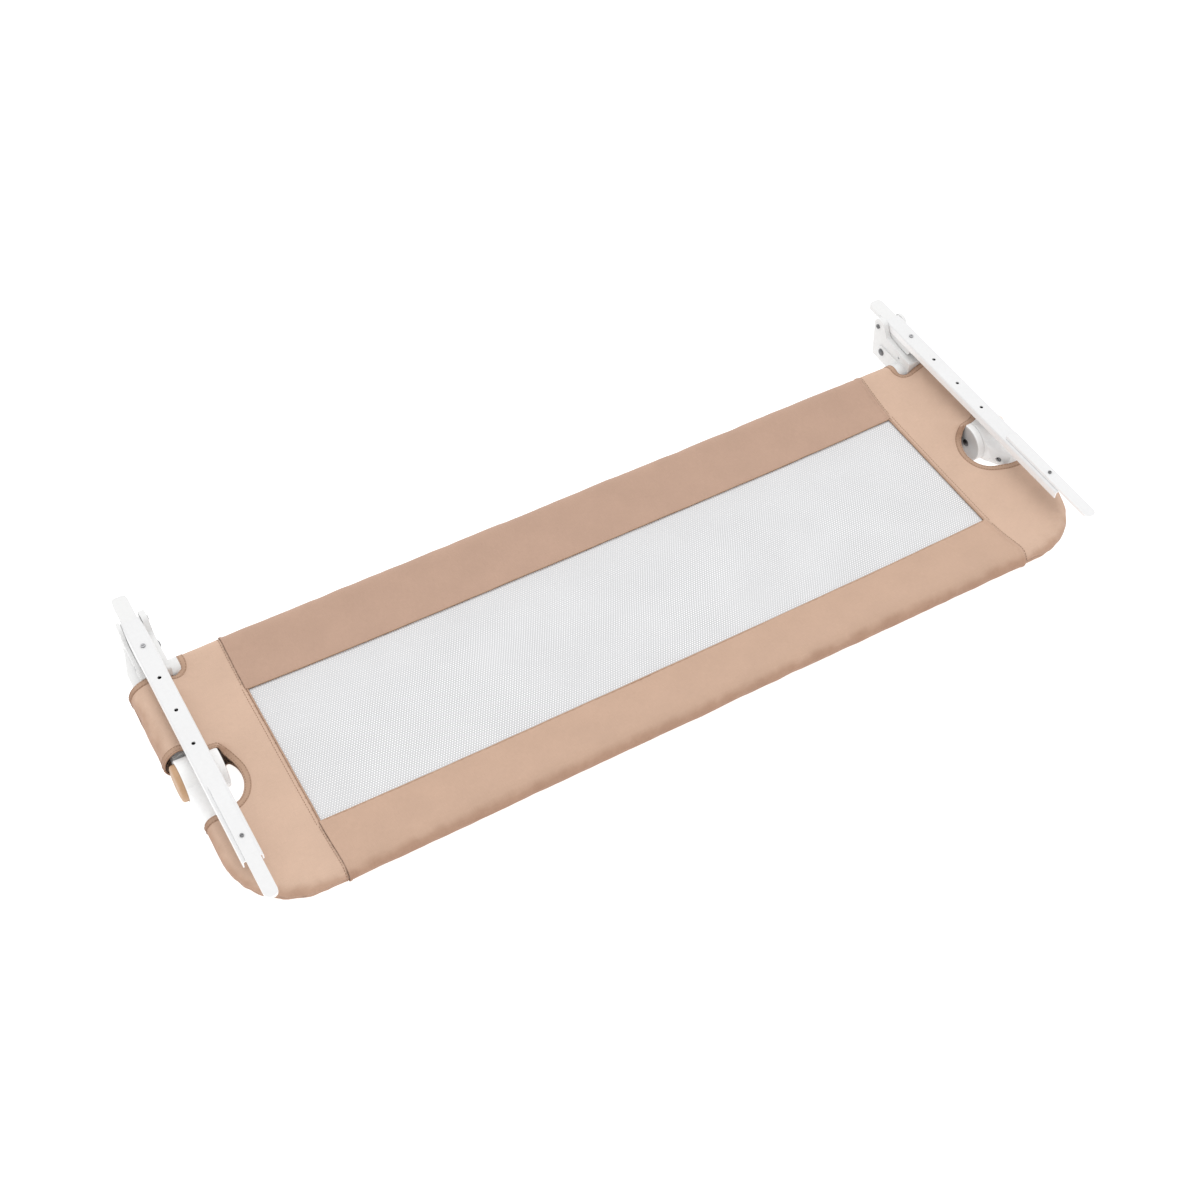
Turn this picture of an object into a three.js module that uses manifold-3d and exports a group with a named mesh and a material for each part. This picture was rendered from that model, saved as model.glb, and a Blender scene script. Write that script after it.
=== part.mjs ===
// Folding bed guard rail, folded flat for storage: millimetres, +Z up, +X along the rail, +Y towards the edge that is the bottom in use.
// The panel lies flat with both base arms folded onto it. All dimensions below are in the panel's own frame: x = 0, y = 0 is the middle of the mesh window
// and z = 0 the plane through the tube axes. The outer group moves that frame so that the origin is the bottom centre of the object's box.
import * as THREE from "three";
import { mergeVertices } from "three/addons/utils/BufferGeometryUtils.js";
import Module from "manifold-3d";

const wasm = await Module();
wasm.setup();

// ---- driving dimensions ----
const ORIGIN_Y = 40, ORIGIN_Z = 27; // the object's box is centred on y = 40, and its lowest point is z = -27
const TUBE_R = 11, TUBE_WALL = 1.2, SOCKET_R = 11.35; // 22 mm steel tube and the plastic sockets it sits in
const POST_X = 580.8; // both posts' axes, either end
const CROSS_Y = 177.6, CROSS_END_X = 555; // bottom cross tube
const NEAR_Y = -176, BEND_R = 75; // top bar of the U-shaped tube and its bend radius
const U_END_Y = -14, POST_Y0 = 53, POST_Y1 = 198;
const PIVOT_Y = 20, PIVOT_Z = 0; // swing-down hinge axis, along X
const HINGE_X0 = 544, HINGE_MID_X = 553.6, HINGE_X1 = 595; // inner face, the lower disc's other face, and outer face of the hinge
const DISC_R = 27;
const NECK_R = 13, COLLAR_R = 14.5;
const BUTTON_R = 23, BUTTON_X1 = 602.2;
const ARM_X = 568, ARM_W = 25, ARM_H = 10.5, ARM_TOP = 48, ARM_WALL = 1.5; // folded base arm, an inverted U channel
const ARM_Y0 = -143, ARM_Y1 = 242;
const ARM_PIVOT_Y = 221, ARM_PIVOT_Z = 4;
const HOLE_YS = [137.8, 84.2, 30.6], HOLE_R = 2.5; // open holes, one pitch of 53.6 apart
const ARM_SCREW_Y = 191.4;
const STRIP_W = 16.5, STRIP_T = 4.2, STRIP_Y0 = -200, STRIP_Y1 = -32, STRIP_SCREW_Y = -113.5;
const STRIP_TRAVEL = 55; // it slides in by this much, until its tip is level with the channel's end
const TAB_W = 20, TAB_Y0 = 216, TAB_Y1 = 280;
const BRACKET_X0 = 547.5, BRACKET_X1 = 585.5, BRACKET_Y0 = 162, BOSS_X = 545.5, SPLIT_X = 568;
const WIN_X = 477, WIN_Y = 107; // mesh window
const FOLD = 0.35; // half the gap between the two halves of the cover at the fold line
const SLEEVE_R = 14, LOOSE_R = 25.2, CLOTH = 1.2;
const SLEEVE_U = -49.8, SLEEVE_Y0 = 45.8, SLEEVE_Y1 = 161.4; // mouths of the upper sleeve and of the loose lower one
const CUT_X = 577, CUT_Y = -2, CUT_R = 47.5; // half-round cut-out in the cover beside each hinge

// ---- geometry helpers ----
const V2 = (p) => new THREE.Vector2(p[0], p[1]);
const shapeOf = (pts, holes = []) => {
  const s = new THREE.Shape(pts.map(V2));
  for (const h of holes) s.holes.push(new THREE.Path(h.map(V2)));
  return s;
};
const ring = (cx, cy, r, n) =>
  Array.from({ length: n }, (_, i) => {
    const a = ((i + 0.5) / n) * 2 * Math.PI;
    return [cx + r * Math.cos(a), cy + r * Math.sin(a)];
  });
const arc = (cx, cy, r, a0, a1, n) =>
  Array.from({ length: n + 1 }, (_, i) => {
    const a = ((a0 + ((a1 - a0) * i) / n) * Math.PI) / 180;
    return [cx + r * Math.cos(a), cy + r * Math.sin(a)];
  });
// Convex outline round a set of points, anticlockwise.
function hull(points) {
  const p = [...points].sort((a, b) => a[0] - b[0] || a[1] - b[1]);
  const cross = (o, a, b) => (a[0] - o[0]) * (b[1] - o[1]) - (a[1] - o[1]) * (b[0] - o[0]);
  const half = (list) => {
    const out = [];
    for (const q of list) {
      while (out.length > 1 && cross(out[out.length - 2], out[out.length - 1], q) <= 1e-6) out.pop();
      out.push(q);
    }
    return out.slice(0, -1);
  };
  return [...half(p), ...half([...p].reverse())];
}
// A polygon whose corners [x, y, radius] are rounded.
function rounded(corners, n = 4) {
  const out = [];
  corners.forEach((c, i) => {
    const r = c[2] || 0;
    if (!r) return out.push([c[0], c[1]]);
    const a = corners[(i + corners.length - 1) % corners.length], b = corners[(i + 1) % corners.length];
    const u = new THREE.Vector2(a[0] - c[0], a[1] - c[1]).normalize(), v = new THREE.Vector2(b[0] - c[0], b[1] - c[1]).normalize();
    const half = Math.acos(THREE.MathUtils.clamp(u.dot(v), -1, 1)) / 2, back = r / Math.tan(half);
    const m = u.clone().add(v).normalize().multiplyScalar(r / Math.sin(half));
    const p0 = u.clone().multiplyScalar(back).sub(m), p1 = v.clone().multiplyScalar(back).sub(m);
    let a0 = Math.atan2(p0.y, p0.x), a1 = Math.atan2(p1.y, p1.x);
    if (a1 - a0 > Math.PI) a1 -= 2 * Math.PI;
    if (a0 - a1 > Math.PI) a1 += 2 * Math.PI;
    for (let k = 0; k <= n; k++) {
      const t = a0 + ((a1 - a0) * k) / n;
      out.push([c[0] + m.x + r * Math.cos(t), c[1] + m.y + r * Math.sin(t)]);
    }
  });
  return out;
}
function solid(geometry) {
  const g = geometry.clone();
  g.deleteAttribute("normal");
  g.deleteAttribute("uv");
  const m = mergeVertices(g, 1e-4);
  return new wasm.Manifold(new wasm.Mesh({ numProp: 3, vertProperties: new Float32Array(m.attributes.position.array), triVerts: new Uint32Array(m.index.array) }));
}
const extrude = (shape, depth, matrix) => {
  const g = new THREE.ExtrudeGeometry(shape, { depth, bevelEnabled: false });
  g.applyMatrix4(matrix);
  return solid(g);
};
const basis = (x, y, z, t) => new THREE.Matrix4().makeBasis(new THREE.Vector3(...x), new THREE.Vector3(...y), new THREE.Vector3(...z)).setPosition(...t);
// Prisms: the outline is (y, z) along X, (x, z) along Y and (x, y) along Z.
const prismX = (pts, x0, x1, holes) => extrude(shapeOf(pts, holes), x1 - x0, basis([0, 1, 0], [0, 0, 1], [1, 0, 0], [x0, 0, 0]));
const prismY = (pts, y0, y1, holes) => extrude(shapeOf(pts, holes), y1 - y0, basis([1, 0, 0], [0, 0, 1], [0, -1, 0], [0, y1, 0]));
const prismZ = (pts, z0, z1, holes) => extrude(shapeOf(pts, holes), z1 - z0, basis([1, 0, 0], [0, 1, 0], [0, 0, 1], [0, 0, z0]));
const cylX = (y, z, r, x0, x1, n = 32) => prismX(ring(y, z, r, n), x0, x1);
const cylY = (x, z, r, y0, y1, n = 28) => prismY(ring(x, z, r, n), y0, y1);
const cylZ = (x, y, r, z0, z1, n = 16) => prismZ(ring(x, y, r, n), z0, z1);
const box = (x0, x1, y0, y1, z0, z1) => {
  const g = new THREE.BoxGeometry(x1 - x0, y1 - y0, z1 - z0);
  g.translate((x0 + x1) / 2, (y0 + y1) / 2, (z0 + z1) / 2);
  return solid(g);
};
// A body of revolution about an axis along X through (y, z): profile points are (radius, x).
const turned = (y, z, profile, n = 32) => {
  const spin = (points) => {
    const g = new THREE.LatheGeometry(points.map(V2), n);
    g.applyMatrix4(basis([0, 1, 0], [1, 0, 0], [0, 0, -1], [0, y, z]));
    return solid(g);
  };
  const s = spin(profile);
  return s.volume() > 0 ? s : spin([...profile].reverse());
};
// The tightest convex skin round some solids.
const wrap = (...solids) => wasm.Manifold.hull(solids);
// A path given by its points and directions, so that a tube along it has one ring of vertices at each point.
class PointPath extends THREE.Curve {
  constructor(points, directions) {
    super();
    this.p = points;
    this.d = directions;
  }
  at(list, t, target) {
    const u = THREE.MathUtils.clamp(t, 0, 1) * (list.length - 1), i = Math.min(Math.floor(u), list.length - 2);
    return target.copy(list[i]).lerp(list[i + 1], u - i);
  }
  getPoint(t, target = new THREE.Vector3()) {
    return this.at(this.p, t, target);
  }
  getTangent(t, target = new THREE.Vector3()) {
    return this.at(this.d, t, target).normalize();
  }
  getUtoTmapping(u) {
    return u;
  }
}
const sweep = (path, r, n) => {
  const s = shapeOf(ring(0, 0, r, n));
  return solid(new THREE.ExtrudeGeometry(s, { steps: path.p.length - 1, bevelEnabled: false, extrudePath: path }));
};
function coil(axisPoint, radius, wire, length, turns, per, sides) {
  const p = [], d = [];
  const count = turns * per;
  for (let i = 0; i <= count; i++) {
    const a = (i / per) * 2 * Math.PI;
    p.push(axisPoint((i / count) * length, radius * Math.cos(a), radius * Math.sin(a)));
    const e = 1e-3, b = ((i + e) / per) * 2 * Math.PI;
    d.push(axisPoint(((i + e) / count) * length, radius * Math.cos(b), radius * Math.sin(b)).sub(p[i]).normalize());
  }
  return sweep(new PointPath(p, d), wire, sides);
}
const P = (x, y, z) => new THREE.Vector3(x, y, z);

// ---- materials ----
const steel = { color: 0xf1f1f1, roughness: 0.35, metalness: 0.1 };
const plastic = { color: 0xefefee, roughness: 0.5, metalness: 0 };
const cloth = { color: 0xcfae95, roughness: 0.9, metalness: 0 };
const net = { color: 0xe4e4e8, roughness: 0.8, metalness: 0 };
const tan = { color: 0xc99f75, roughness: 0.5, metalness: 0 };
const zinc = { color: 0xb4b4b8, roughness: 0.35, metalness: 0.9 };

// ---- the tree of bodies ----
const root = new THREE.Group();
root.position.set(0, -ORIGIN_Y, ORIGIN_Z);
const bodies = {};
const body = (name, pivot = [0, 0, 0]) => {
  const g = new THREE.Group();
  g.name = name;
  g.position.set(...pivot);
  root.add(g);
  bodies[name] = g;
};
body("lower_frame");
body("upper_frame", [0, PIVOT_Y, PIVOT_Z]);
for (const [side, s] of [["left", -1], ["right", 1]]) {
  body("arm_" + side, [s * ARM_X, ARM_PIVOT_Y, ARM_PIVOT_Z]);
  body("extension_" + side, [s * ARM_X, STRIP_SCREW_Y, ARM_TOP]);
  body("release_" + side, [s * ARM_X, TAB_Y0, ARM_TOP]);
  body("button_" + side, [s * HINGE_X1, PIVOT_Y, PIVOT_Z]);
}
function place(bodyName, name, s, look, mirrored = false) {
  const m = s.getMesh();
  const position = new Float32Array(m.numVert * 3);
  for (let i = 0; i < m.numVert; i++) {
    position.set(m.vertProperties.subarray(i * m.numProp, i * m.numProp + 3), i * 3);
    if (mirrored) position[i * 3] *= -1;
  }
  const index = Uint32Array.from(m.triVerts);
  if (mirrored) for (let i = 0; i < index.length; i += 3) [index[i + 1], index[i + 2]] = [index[i + 2], index[i + 1]];
  const g = new THREE.BufferGeometry();
  g.setAttribute("position", new THREE.BufferAttribute(position, 3));
  g.setIndex(new THREE.BufferAttribute(index, 1));
  g.computeVertexNormals();
  const mesh = new THREE.Mesh(g, new THREE.MeshStandardMaterial({ ...look, flatShading: true }));
  mesh.name = name;
  const group = bodies[bodyName];
  mesh.position.copy(group.position).negate();
  group.add(mesh);
}
// Both ends carry the same pieces, mirrored. Each shape is drawn for the right end.
const pair = (bodyName, name, s, look) => {
  const one = bodyName === "lower_frame" || bodyName === "upper_frame";
  place(one ? bodyName : bodyName + "_right", name + "_right", s, look);
  place(one ? bodyName : bodyName + "_left", name + "_left", s, look, true);
};

// ---- lower frame: cross tube and short posts ----
const pipe = (make) => make(TUBE_R, 0).subtract(make(TUBE_R - TUBE_WALL, 1));
place("lower_frame", "lower_cross_tube", pipe((r, e) => cylX(CROSS_Y, 0, r, -CROSS_END_X - e, CROSS_END_X + e, 24)), steel);
pair("lower_frame", "lower_post", pipe((r, e) => cylY(POST_X, 0, r, POST_Y0 - e, POST_Y1 + e, 24)), steel);

// ---- corner brackets: two shells each, split at the arm's middle plane ----
const cheekInner = rounded([[BRACKET_Y0, -14.5, 0], [242, -14.5, 3], [249.5, 50, 10], [229.5, 50, 9], [218, 31, 10], [176, 26.7, 6], [BRACKET_Y0, 26.7, 3]], 7);
const cheekOuter = rounded([[BRACKET_Y0, -14.5, 0], [240, -14.5, 6], [246, 47, 9], [228, 47, 9], [217, 29, 10], [176, 26.7, 6], [BRACKET_Y0, 26.7, 3]], 7);
const web = [[BRACKET_Y0, -14.5], [203, -14.5], [203, 26.7], [BRACKET_Y0, 26.7]];
const armBore = cylX(ARM_PIVOT_Y, ARM_PIVOT_Z, 4.35, 530, 600, 20);
const postSocket = cylY(POST_X, 0, SOCKET_R, 130, POST_Y1 + 0.6, 24);
const webScrewBore = cylX(186, 20, 2.2, 530, 600, 12);
const inner = prismX(cheekInner, BRACKET_X0, 555.1)
  .add(prismX(web, 555, SPLIT_X - 0.15))
  .add(wrap(cylX(ARM_PIVOT_Y, ARM_PIVOT_Z, 9.5, BOSS_X, 553, 36), cylX(CROSS_Y, 0, COLLAR_R, BOSS_X, 553, 40)))
  .add(cylX(CROSS_Y, 0, COLLAR_R, 535, BOSS_X + 0.5, 40))
  .subtract(cylX(CROSS_Y, 0, SOCKET_R, 520, CROSS_END_X + 0.6, 24))
  .subtract(armBore)
  .subtract(webScrewBore)
  .subtract(cylX(239, 38, 2.2, 530, 553.9, 12));
pair("lower_frame", "bracket_inner_shell", inner, plastic);
// The outer shell swells round the post and runs down over it as a collar.
const outer = prismX(cheekOuter, 580.9, BRACKET_X1)
  .add(prismX(web, SPLIT_X + 0.15, 581.5))
  .add(wrap(cylY(POST_X, 0, COLLAR_R, BRACKET_Y0 + 0.2, 197, 40), cylX(ARM_PIVOT_Y, ARM_PIVOT_Z, 13, 582, BRACKET_X1 - 0.2, 36)).subtract(box(500, 580.9, 203, 260, -40, 70)).subtract(box(500, SPLIT_X + 0.15, 150, 260, -40, 70)))
  .add(cylY(POST_X, 0, COLLAR_R, 144, BRACKET_Y0 - 0.4, 40))
  .add(cylY(POST_X, 0, COLLAR_R, 160, BRACKET_Y0 + 1, 40).subtract(box(500, SPLIT_X + 0.15, BRACKET_Y0 - 0.4, 260, -40, 70)))
  .subtract(postSocket)
  .subtract(armBore)
  .subtract(webScrewBore)
  .subtract(cylX(186, 20, 4.2, 582, 600, 16))
  .subtract(cylX(ARM_PIVOT_Y, ARM_PIVOT_Z, 6.4, BRACKET_X1, 600, 24));
pair("lower_frame", "bracket_outer_shell", outer, plastic);
// A pan-head screw along X: the head's outer face is at x0, and it points towards x1.
const screwX = (y, z, headR, shankR, x0, x1, headT) => {
  const s = Math.sign(x1 - x0), xs = (a, b) => [Math.min(a, b), Math.max(a, b)];
  return cylX(y, z, headR, ...xs(x0, x0 + s * headT), 14).add(cylX(y, z, shankR, ...xs(x0 + s * (headT - 0.3), x1), 10)).subtract(box(Math.min(x0, x0 + s * 0.8) - 0.01, Math.max(x0, x0 + s * 0.8) + 0.01, y - headR * 0.6, y + headR * 0.6, z - 0.5, z + 0.5));
};
pair("lower_frame", "bracket_screw_top", screwX(239, 38, 3.3, 1.9, BRACKET_X0 - 1.7, 553, 1.4), zinc);
pair("lower_frame", "bracket_screw_web", screwX(186, 20, 3.8, 1.9, 585.2, 549, 3), zinc);
const armBolt = cylX(ARM_PIVOT_Y, ARM_PIVOT_Z, 4, BOSS_X - 1, BRACKET_X1 + 1, 20)
  .add(turned(ARM_PIVOT_Y, ARM_PIVOT_Z, [[0, BOSS_X - 2.6], [3.2, BOSS_X - 2.4], [5.2, BOSS_X - 1.2], [5.4, BOSS_X - 0.3], [0, BOSS_X - 0.3]], 20))
  .add(turned(ARM_PIVOT_Y, ARM_PIVOT_Z, [[0, BRACKET_X1 + 2.4], [3.2, BRACKET_X1 + 2.2], [5.6, BRACKET_X1 + 1.2], [5.8, BRACKET_X1 + 0.3], [0, BRACKET_X1 + 0.3]], 20));
pair("lower_frame", "arm_pivot_bolt", armBolt, zinc);

// ---- swing-down hinge: a disc with an offset collar on the lower post, a thick housing with a neck on the U tube, a sprung lock drum and its push button ----
const lowerHalf = turned(PIVOT_Y, PIVOT_Z, [[0, HINGE_MID_X], [DISC_R, HINGE_MID_X], [DISC_R, HINGE_X0 + 2], [DISC_R - 0.7, HINGE_X0 + 0.6], [DISC_R - 2.2, HINGE_X0], [0, HINGE_X0]], 56)
  .add(box(547, HINGE_MID_X, PIVOT_Y + 6, 52.2, -12, 12))
  .add(box(547, 593, 47.8, 52.2, -12, 12))
  .add(cylY(POST_X, 0, COLLAR_R, 47.8, 82, 32))
  .subtract(cylY(POST_X, 0, SOCKET_R, POST_Y0 - 0.6, 90, 24))
  .subtract(cylX(PIVOT_Y, PIVOT_Z, 3.3, 530, 562, 16))
  .subtract(cylX(PIVOT_Y, PIVOT_Z, 5.6, 530, HINGE_X0 + 2.4, 20));
pair("lower_frame", "hinge_lower_half", lowerHalf, plastic);
const upperHalf = turned(PIVOT_Y, PIVOT_Z, [[0, HINGE_X1], [DISC_R - 1.2, HINGE_X1], [DISC_R, HINGE_X1 - 1.2], [DISC_R, HINGE_MID_X + 0.5], [0, HINGE_MID_X + 0.5]], 56)
  .add(wrap(cylX(-2, 0, 15.6, HINGE_MID_X + 2.4, HINGE_X1 - 1, 40), cylY(POST_X, 0, NECK_R, -40, -36, 40)))
  .add(cylY(POST_X, 0, NECK_R, -49.5, -30, 40))
  .subtract(cylY(POST_X, 0, SOCKET_R, -70, U_END_Y + 0.6, 24))
  .subtract(cylX(PIVOT_Y, PIVOT_Z, 3.4, 550, 600, 16))
  .subtract(cylX(PIVOT_Y, PIVOT_Z, 15.5, 567, 583.2, 32))
  .subtract(cylX(PIVOT_Y, PIVOT_Z, 8.4, 583, 589, 24))
  .subtract(cylX(PIVOT_Y, PIVOT_Z, 23.6, 588.1, 610, 48))
  .subtract(cylX(-28.5, 2.2, 2.2, 550, 568.5, 12))
  .subtract(cylX(-28.5, 2.2, 3.6, 550, 566.4, 14));
pair("upper_frame", "hinge_upper_half", upperHalf, plastic);
pair("upper_frame", "hinge_neck_screw", screwX(-28.5, 2.2, 3.2, 1.9, 562.4, 568, 3.6), zinc);
pair("lower_frame", "hinge_bolt", cylX(PIVOT_Y, PIVOT_Z, 5.2, HINGE_X0 - 0.4, HINGE_X0 + 2.1, 16).add(cylX(PIVOT_Y, PIVOT_Z, 3, HINGE_X0 + 2, 572, 14)).subtract(box(HINGE_X0 - 1, HINGE_X0 + 0.6, PIVOT_Y - 3.2, PIVOT_Y + 3.2, -0.6, 0.6)), zinc);
pair("lower_frame", "hinge_nut", prismX(ring(PIVOT_Y, PIVOT_Z, 5.6, 6), 567.4, 571, [ring(PIVOT_Y, PIVOT_Z, 3.3, 14)]), zinc);
pair("upper_frame", "hinge_spring", coil((t, a, b) => P(567.9 + t, PIVOT_Y + a, PIVOT_Z + b), 10, 0.7, 8, 3, 10, 5), zinc);
pair("button", "hinge_lock_drum", prismX(ring(PIVOT_Y, PIVOT_Z, 15, 28), 576.8, 582.8, [ring(PIVOT_Y, PIVOT_Z, 6.4, 20)]), zinc);
const button = turned(PIVOT_Y, PIVOT_Z, [[0, 583.1], [8, 583.1], [8, 592.4], [BUTTON_R, 592.4], [BUTTON_R, 599.2], [BUTTON_R - 0.8, 600.7], [BUTTON_R - 2.6, 601.7], [BUTTON_R - 6, BUTTON_X1], [0, BUTTON_X1]], 48);
pair("button", "hinge_button", button, tan);

// ---- U-shaped top tube ----
const uPath = (y0, rim = 0) => {
  const p = [], d = [];
  const add = (x, y, dx, dy) => {
    p.push(P(x, y, 0));
    d.push(P(dx, dy, 0));
  };
  const cx = POST_X - BEND_R, cy = NEAR_Y + BEND_R;
  add(POST_X, y0 + rim, 0, -1);
  for (let i = 0; i <= 6; i++) {
    const a = (-i * 15 * Math.PI) / 180;
    add(cx + BEND_R * Math.cos(a), cy + BEND_R * Math.sin(a), Math.sin(a), -Math.cos(a));
  }
  return { p, d };
};
const whole = (y0, rim) => {
  const { p, d } = uPath(y0, rim);
  const back = p.map((q) => P(-q.x, q.y, q.z)).reverse(), backD = d.map((q) => P(q.x, -q.y, q.z)).reverse();
  return new PointPath([...p, ...back], [...d, ...backD]);
};
place("upper_frame", "upper_u_tube", sweep(whole(U_END_Y, 0), TUBE_R, 16).subtract(sweep(whole(U_END_Y, 1), TUBE_R - TUBE_WALL, 16)), steel);

// ---- cover: hollow sleeves sewn from one sheet each, and the thin double sheet between them ----
// A drop-shaped sleeve section: round a circle, running out to a thin edge at tip.
const drop = (cx, r, tip, n) => hull([...ring(cx, 0, r, n), [tip, 0.2], [tip, 2.2]]);
const dropHole = (cx, r, tip, n) => {
  const back = tip < cx ? 11 : -11;
  return hull([...ring(cx, 0, r - CLOTH, n), [tip + back, 1.1], [tip + back, 1.3]]);
};
place("lower_frame", "cover_band_lower", prismX(drop(CROSS_Y, SLEEVE_R, WIN_Y + 0.3, 24), -WIN_X, WIN_X, [dropHole(CROSS_Y, SLEEVE_R, WIN_Y, 24)]), cloth);
place("upper_frame", "cover_band_upper", prismX(drop(NEAR_Y, SLEEVE_R, -WIN_Y - 0.3, 24), -WIN_X, WIN_X, [dropHole(NEAR_Y, SLEEVE_R, -WIN_Y, 24)]), cloth);
const endX = WIN_X + 0.3;
const cut = cylZ(CUT_X, CUT_Y, CUT_R, -40, 40, 40);
const lowerEnd = prismY(drop(POST_X, LOOSE_R, endX, 40), SLEEVE_Y0, SLEEVE_Y1, [dropHole(POST_X, LOOSE_R, endX, 40)])
  .add(prismX(drop(CROSS_Y, SLEEVE_R, WIN_Y, 24), endX, 534, [dropHole(CROSS_Y, SLEEVE_R, WIN_Y, 24)]).subtract(box(400, 600, 90, 155, -40, 40)))
  .add(box(endX, 540.4, PIVOT_Y + FOLD, 52, 0.2, 2.2))
  .subtract(cut);
pair("lower_frame", "cover_end_lower", lowerEnd, cloth);
const side = () => {
  const { p, d } = uPath(SLEEVE_U);
  p.push(P(endX, NEAR_Y, 0));
  d.push(P(-1, 0, 0));
  return new PointPath(p, d);
};
const longSide = () => {
  const c = side();
  c.p[0].y += 1;
  c.p[c.p.length - 1].x -= 1;
  return c;
};
const inset = SLEEVE_R - 0.7, cx = POST_X - BEND_R, cy = NEAR_Y + BEND_R;
const upperSheet = [
  [endX, PIVOT_Y - FOLD], [endX, NEAR_Y + inset], ...arc(cx, cy, BEND_R - inset, -90, 0, 6), [POST_X - inset, SLEEVE_U], [540.4, -24], [540.4, PIVOT_Y - FOLD],
];
const upperEnd = sweep(side(), SLEEVE_R, 20).subtract(sweep(longSide(), SLEEVE_R - CLOTH, 20)).add(prismZ(upperSheet, 0.2, 2.2)).subtract(cut);
pair("upper_frame", "cover_end_upper", upperEnd, cloth);
place("lower_frame", "mesh_panel_lower", box(-WIN_X, WIN_X, PIVOT_Y + FOLD, WIN_Y, 0.2, 1), net);
place("upper_frame", "mesh_panel_upper", box(-WIN_X, WIN_X, -WIN_Y, PIVOT_Y - FOLD, 0.2, 1), net);

// ---- base arms: channel, plastic knuckle on the pivot, spring-loaded release tab, and the extension strip with its clamp screw ----
const a0 = ARM_X - ARM_W / 2, a1 = ARM_X + ARM_W / 2, bottom = ARM_TOP - ARM_H;
const uSection = [
  ...rounded([[a1, bottom, 0], [a1, ARM_TOP, 2.6], [a0, ARM_TOP, 2.6], [a0, bottom, 0]], 3),
  ...rounded([[a0 + ARM_WALL, bottom, 0], [a0 + ARM_WALL, ARM_TOP - ARM_WALL, 1.2], [a1 - ARM_WALL, ARM_TOP - ARM_WALL, 1.2], [a1 - ARM_WALL, bottom, 0]], 2),
];
let channel = prismY(uSection, ARM_Y0, ARM_Y1)
  .subtract(cylZ(ARM_X, ARM_Y1 + 24, 31, 20, 60, 40))
  .subtract(cylZ(ARM_X, ARM_SCREW_Y, 2.3, 20, 60))
  .subtract(box(ARM_X - 2.7, ARM_X + 2.7, STRIP_SCREW_Y - 3.5, STRIP_SCREW_Y + STRIP_TRAVEL + 3.5, 40, 60));
for (const y of HOLE_YS) channel = channel.subtract(cylZ(ARM_X, y, HOLE_R, 20, 60));
pair("arm", "arm_channel", channel, steel);
const knuckleOutline = hull([[204.5, bottom - 0.4], [239, bottom - 0.4], ...ring(ARM_PIVOT_Y, ARM_PIVOT_Z, 13, 28)]);
const knuckle = prismX(knuckleOutline, a0 + 0.2, a1 - 0.2)
  .add(prismX(rounded([[176, bottom - 0.4, 0], [176, 28.2, 6], [216, 28.2, 0], [216, bottom - 0.4, 0]], 6), a0 + 0.2, a1 - 0.2))
  .add(box(a0 + 1.9, a1 - 1.9, 172, 234.5, 34, 46.1))
  .subtract(cylZ(ARM_X, ARM_Y1 + 24, 31.4, 20, 60, 40).intersect(box(500, 620, 200, 300, 34, 60)))
  .subtract(box(540, 600, 200, 300, 37.4, 60))
  .subtract(cylX(ARM_PIVOT_Y, ARM_PIVOT_Z, 4.35, 500, 620, 20))
  .subtract(cylZ(ARM_X, ARM_SCREW_Y, 2.3, 36, 60, 12));
pair("arm", "arm_knuckle", knuckle, plastic);
const screwZ = (y, headR, top, head, tip) => cylZ(ARM_X, y, headR, top - head, top, 14).add(cylZ(ARM_X, y, 1.9, tip, top - head + 0.3, 10)).subtract(box(ARM_X - headR * 0.6, ARM_X + headR * 0.6, y - 0.5, y + 0.5, top - 0.7, top + 1));
pair("arm", "arm_screw", screwZ(ARM_SCREW_Y, 3, ARM_TOP + 1.5, 1.3, 37), zinc);
const tab = prismZ(rounded([[ARM_X - TAB_W / 2, TAB_Y0, 0], [ARM_X + TAB_W / 2, TAB_Y0, 0], [ARM_X + TAB_W / 2, TAB_Y1, 6], [ARM_X - TAB_W / 2, TAB_Y1, 6]], 4), 37.8, 45.6);
pair("release", "arm_release_tab", tab, plastic);
pair("arm", "arm_release_spring", coil((t, a, b) => P(ARM_X + a, 201 + t, 41.8 + b), 2.8, 0.5, 14, 4, 8, 4), zinc);
const strip = prismZ(rounded([[ARM_X - STRIP_W / 2, STRIP_Y0, 7.6], [ARM_X + STRIP_W / 2, STRIP_Y0, 7.6], [ARM_X + STRIP_W / 2, STRIP_Y1, 2], [ARM_X - STRIP_W / 2, STRIP_Y1, 2]], 5), ARM_TOP + 0.3, ARM_TOP + 0.3 + STRIP_T, [ring(ARM_X, STRIP_SCREW_Y, 2.3, 16)]);
pair("extension", "extension_strip", strip, steel);
pair("extension", "extension_screw", screwZ(STRIP_SCREW_Y, 2.5, ARM_TOP + 0.6 + STRIP_T + 0.9, 0.9, 41), zinc);
pair("extension", "extension_clamp_plate", prismZ([[559, STRIP_SCREW_Y - 12], [577, STRIP_SCREW_Y - 12], [577, STRIP_SCREW_Y + 12], [559, STRIP_SCREW_Y + 12]], 43, 46.2, [ring(ARM_X, STRIP_SCREW_Y, 2.2, 16)]), zinc);

export default root;
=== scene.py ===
import math

import bpy
import numpy as np
from mathutils import Matrix, Vector, noise
from mathutils.geometry import delaunay_2d_cdt


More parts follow.
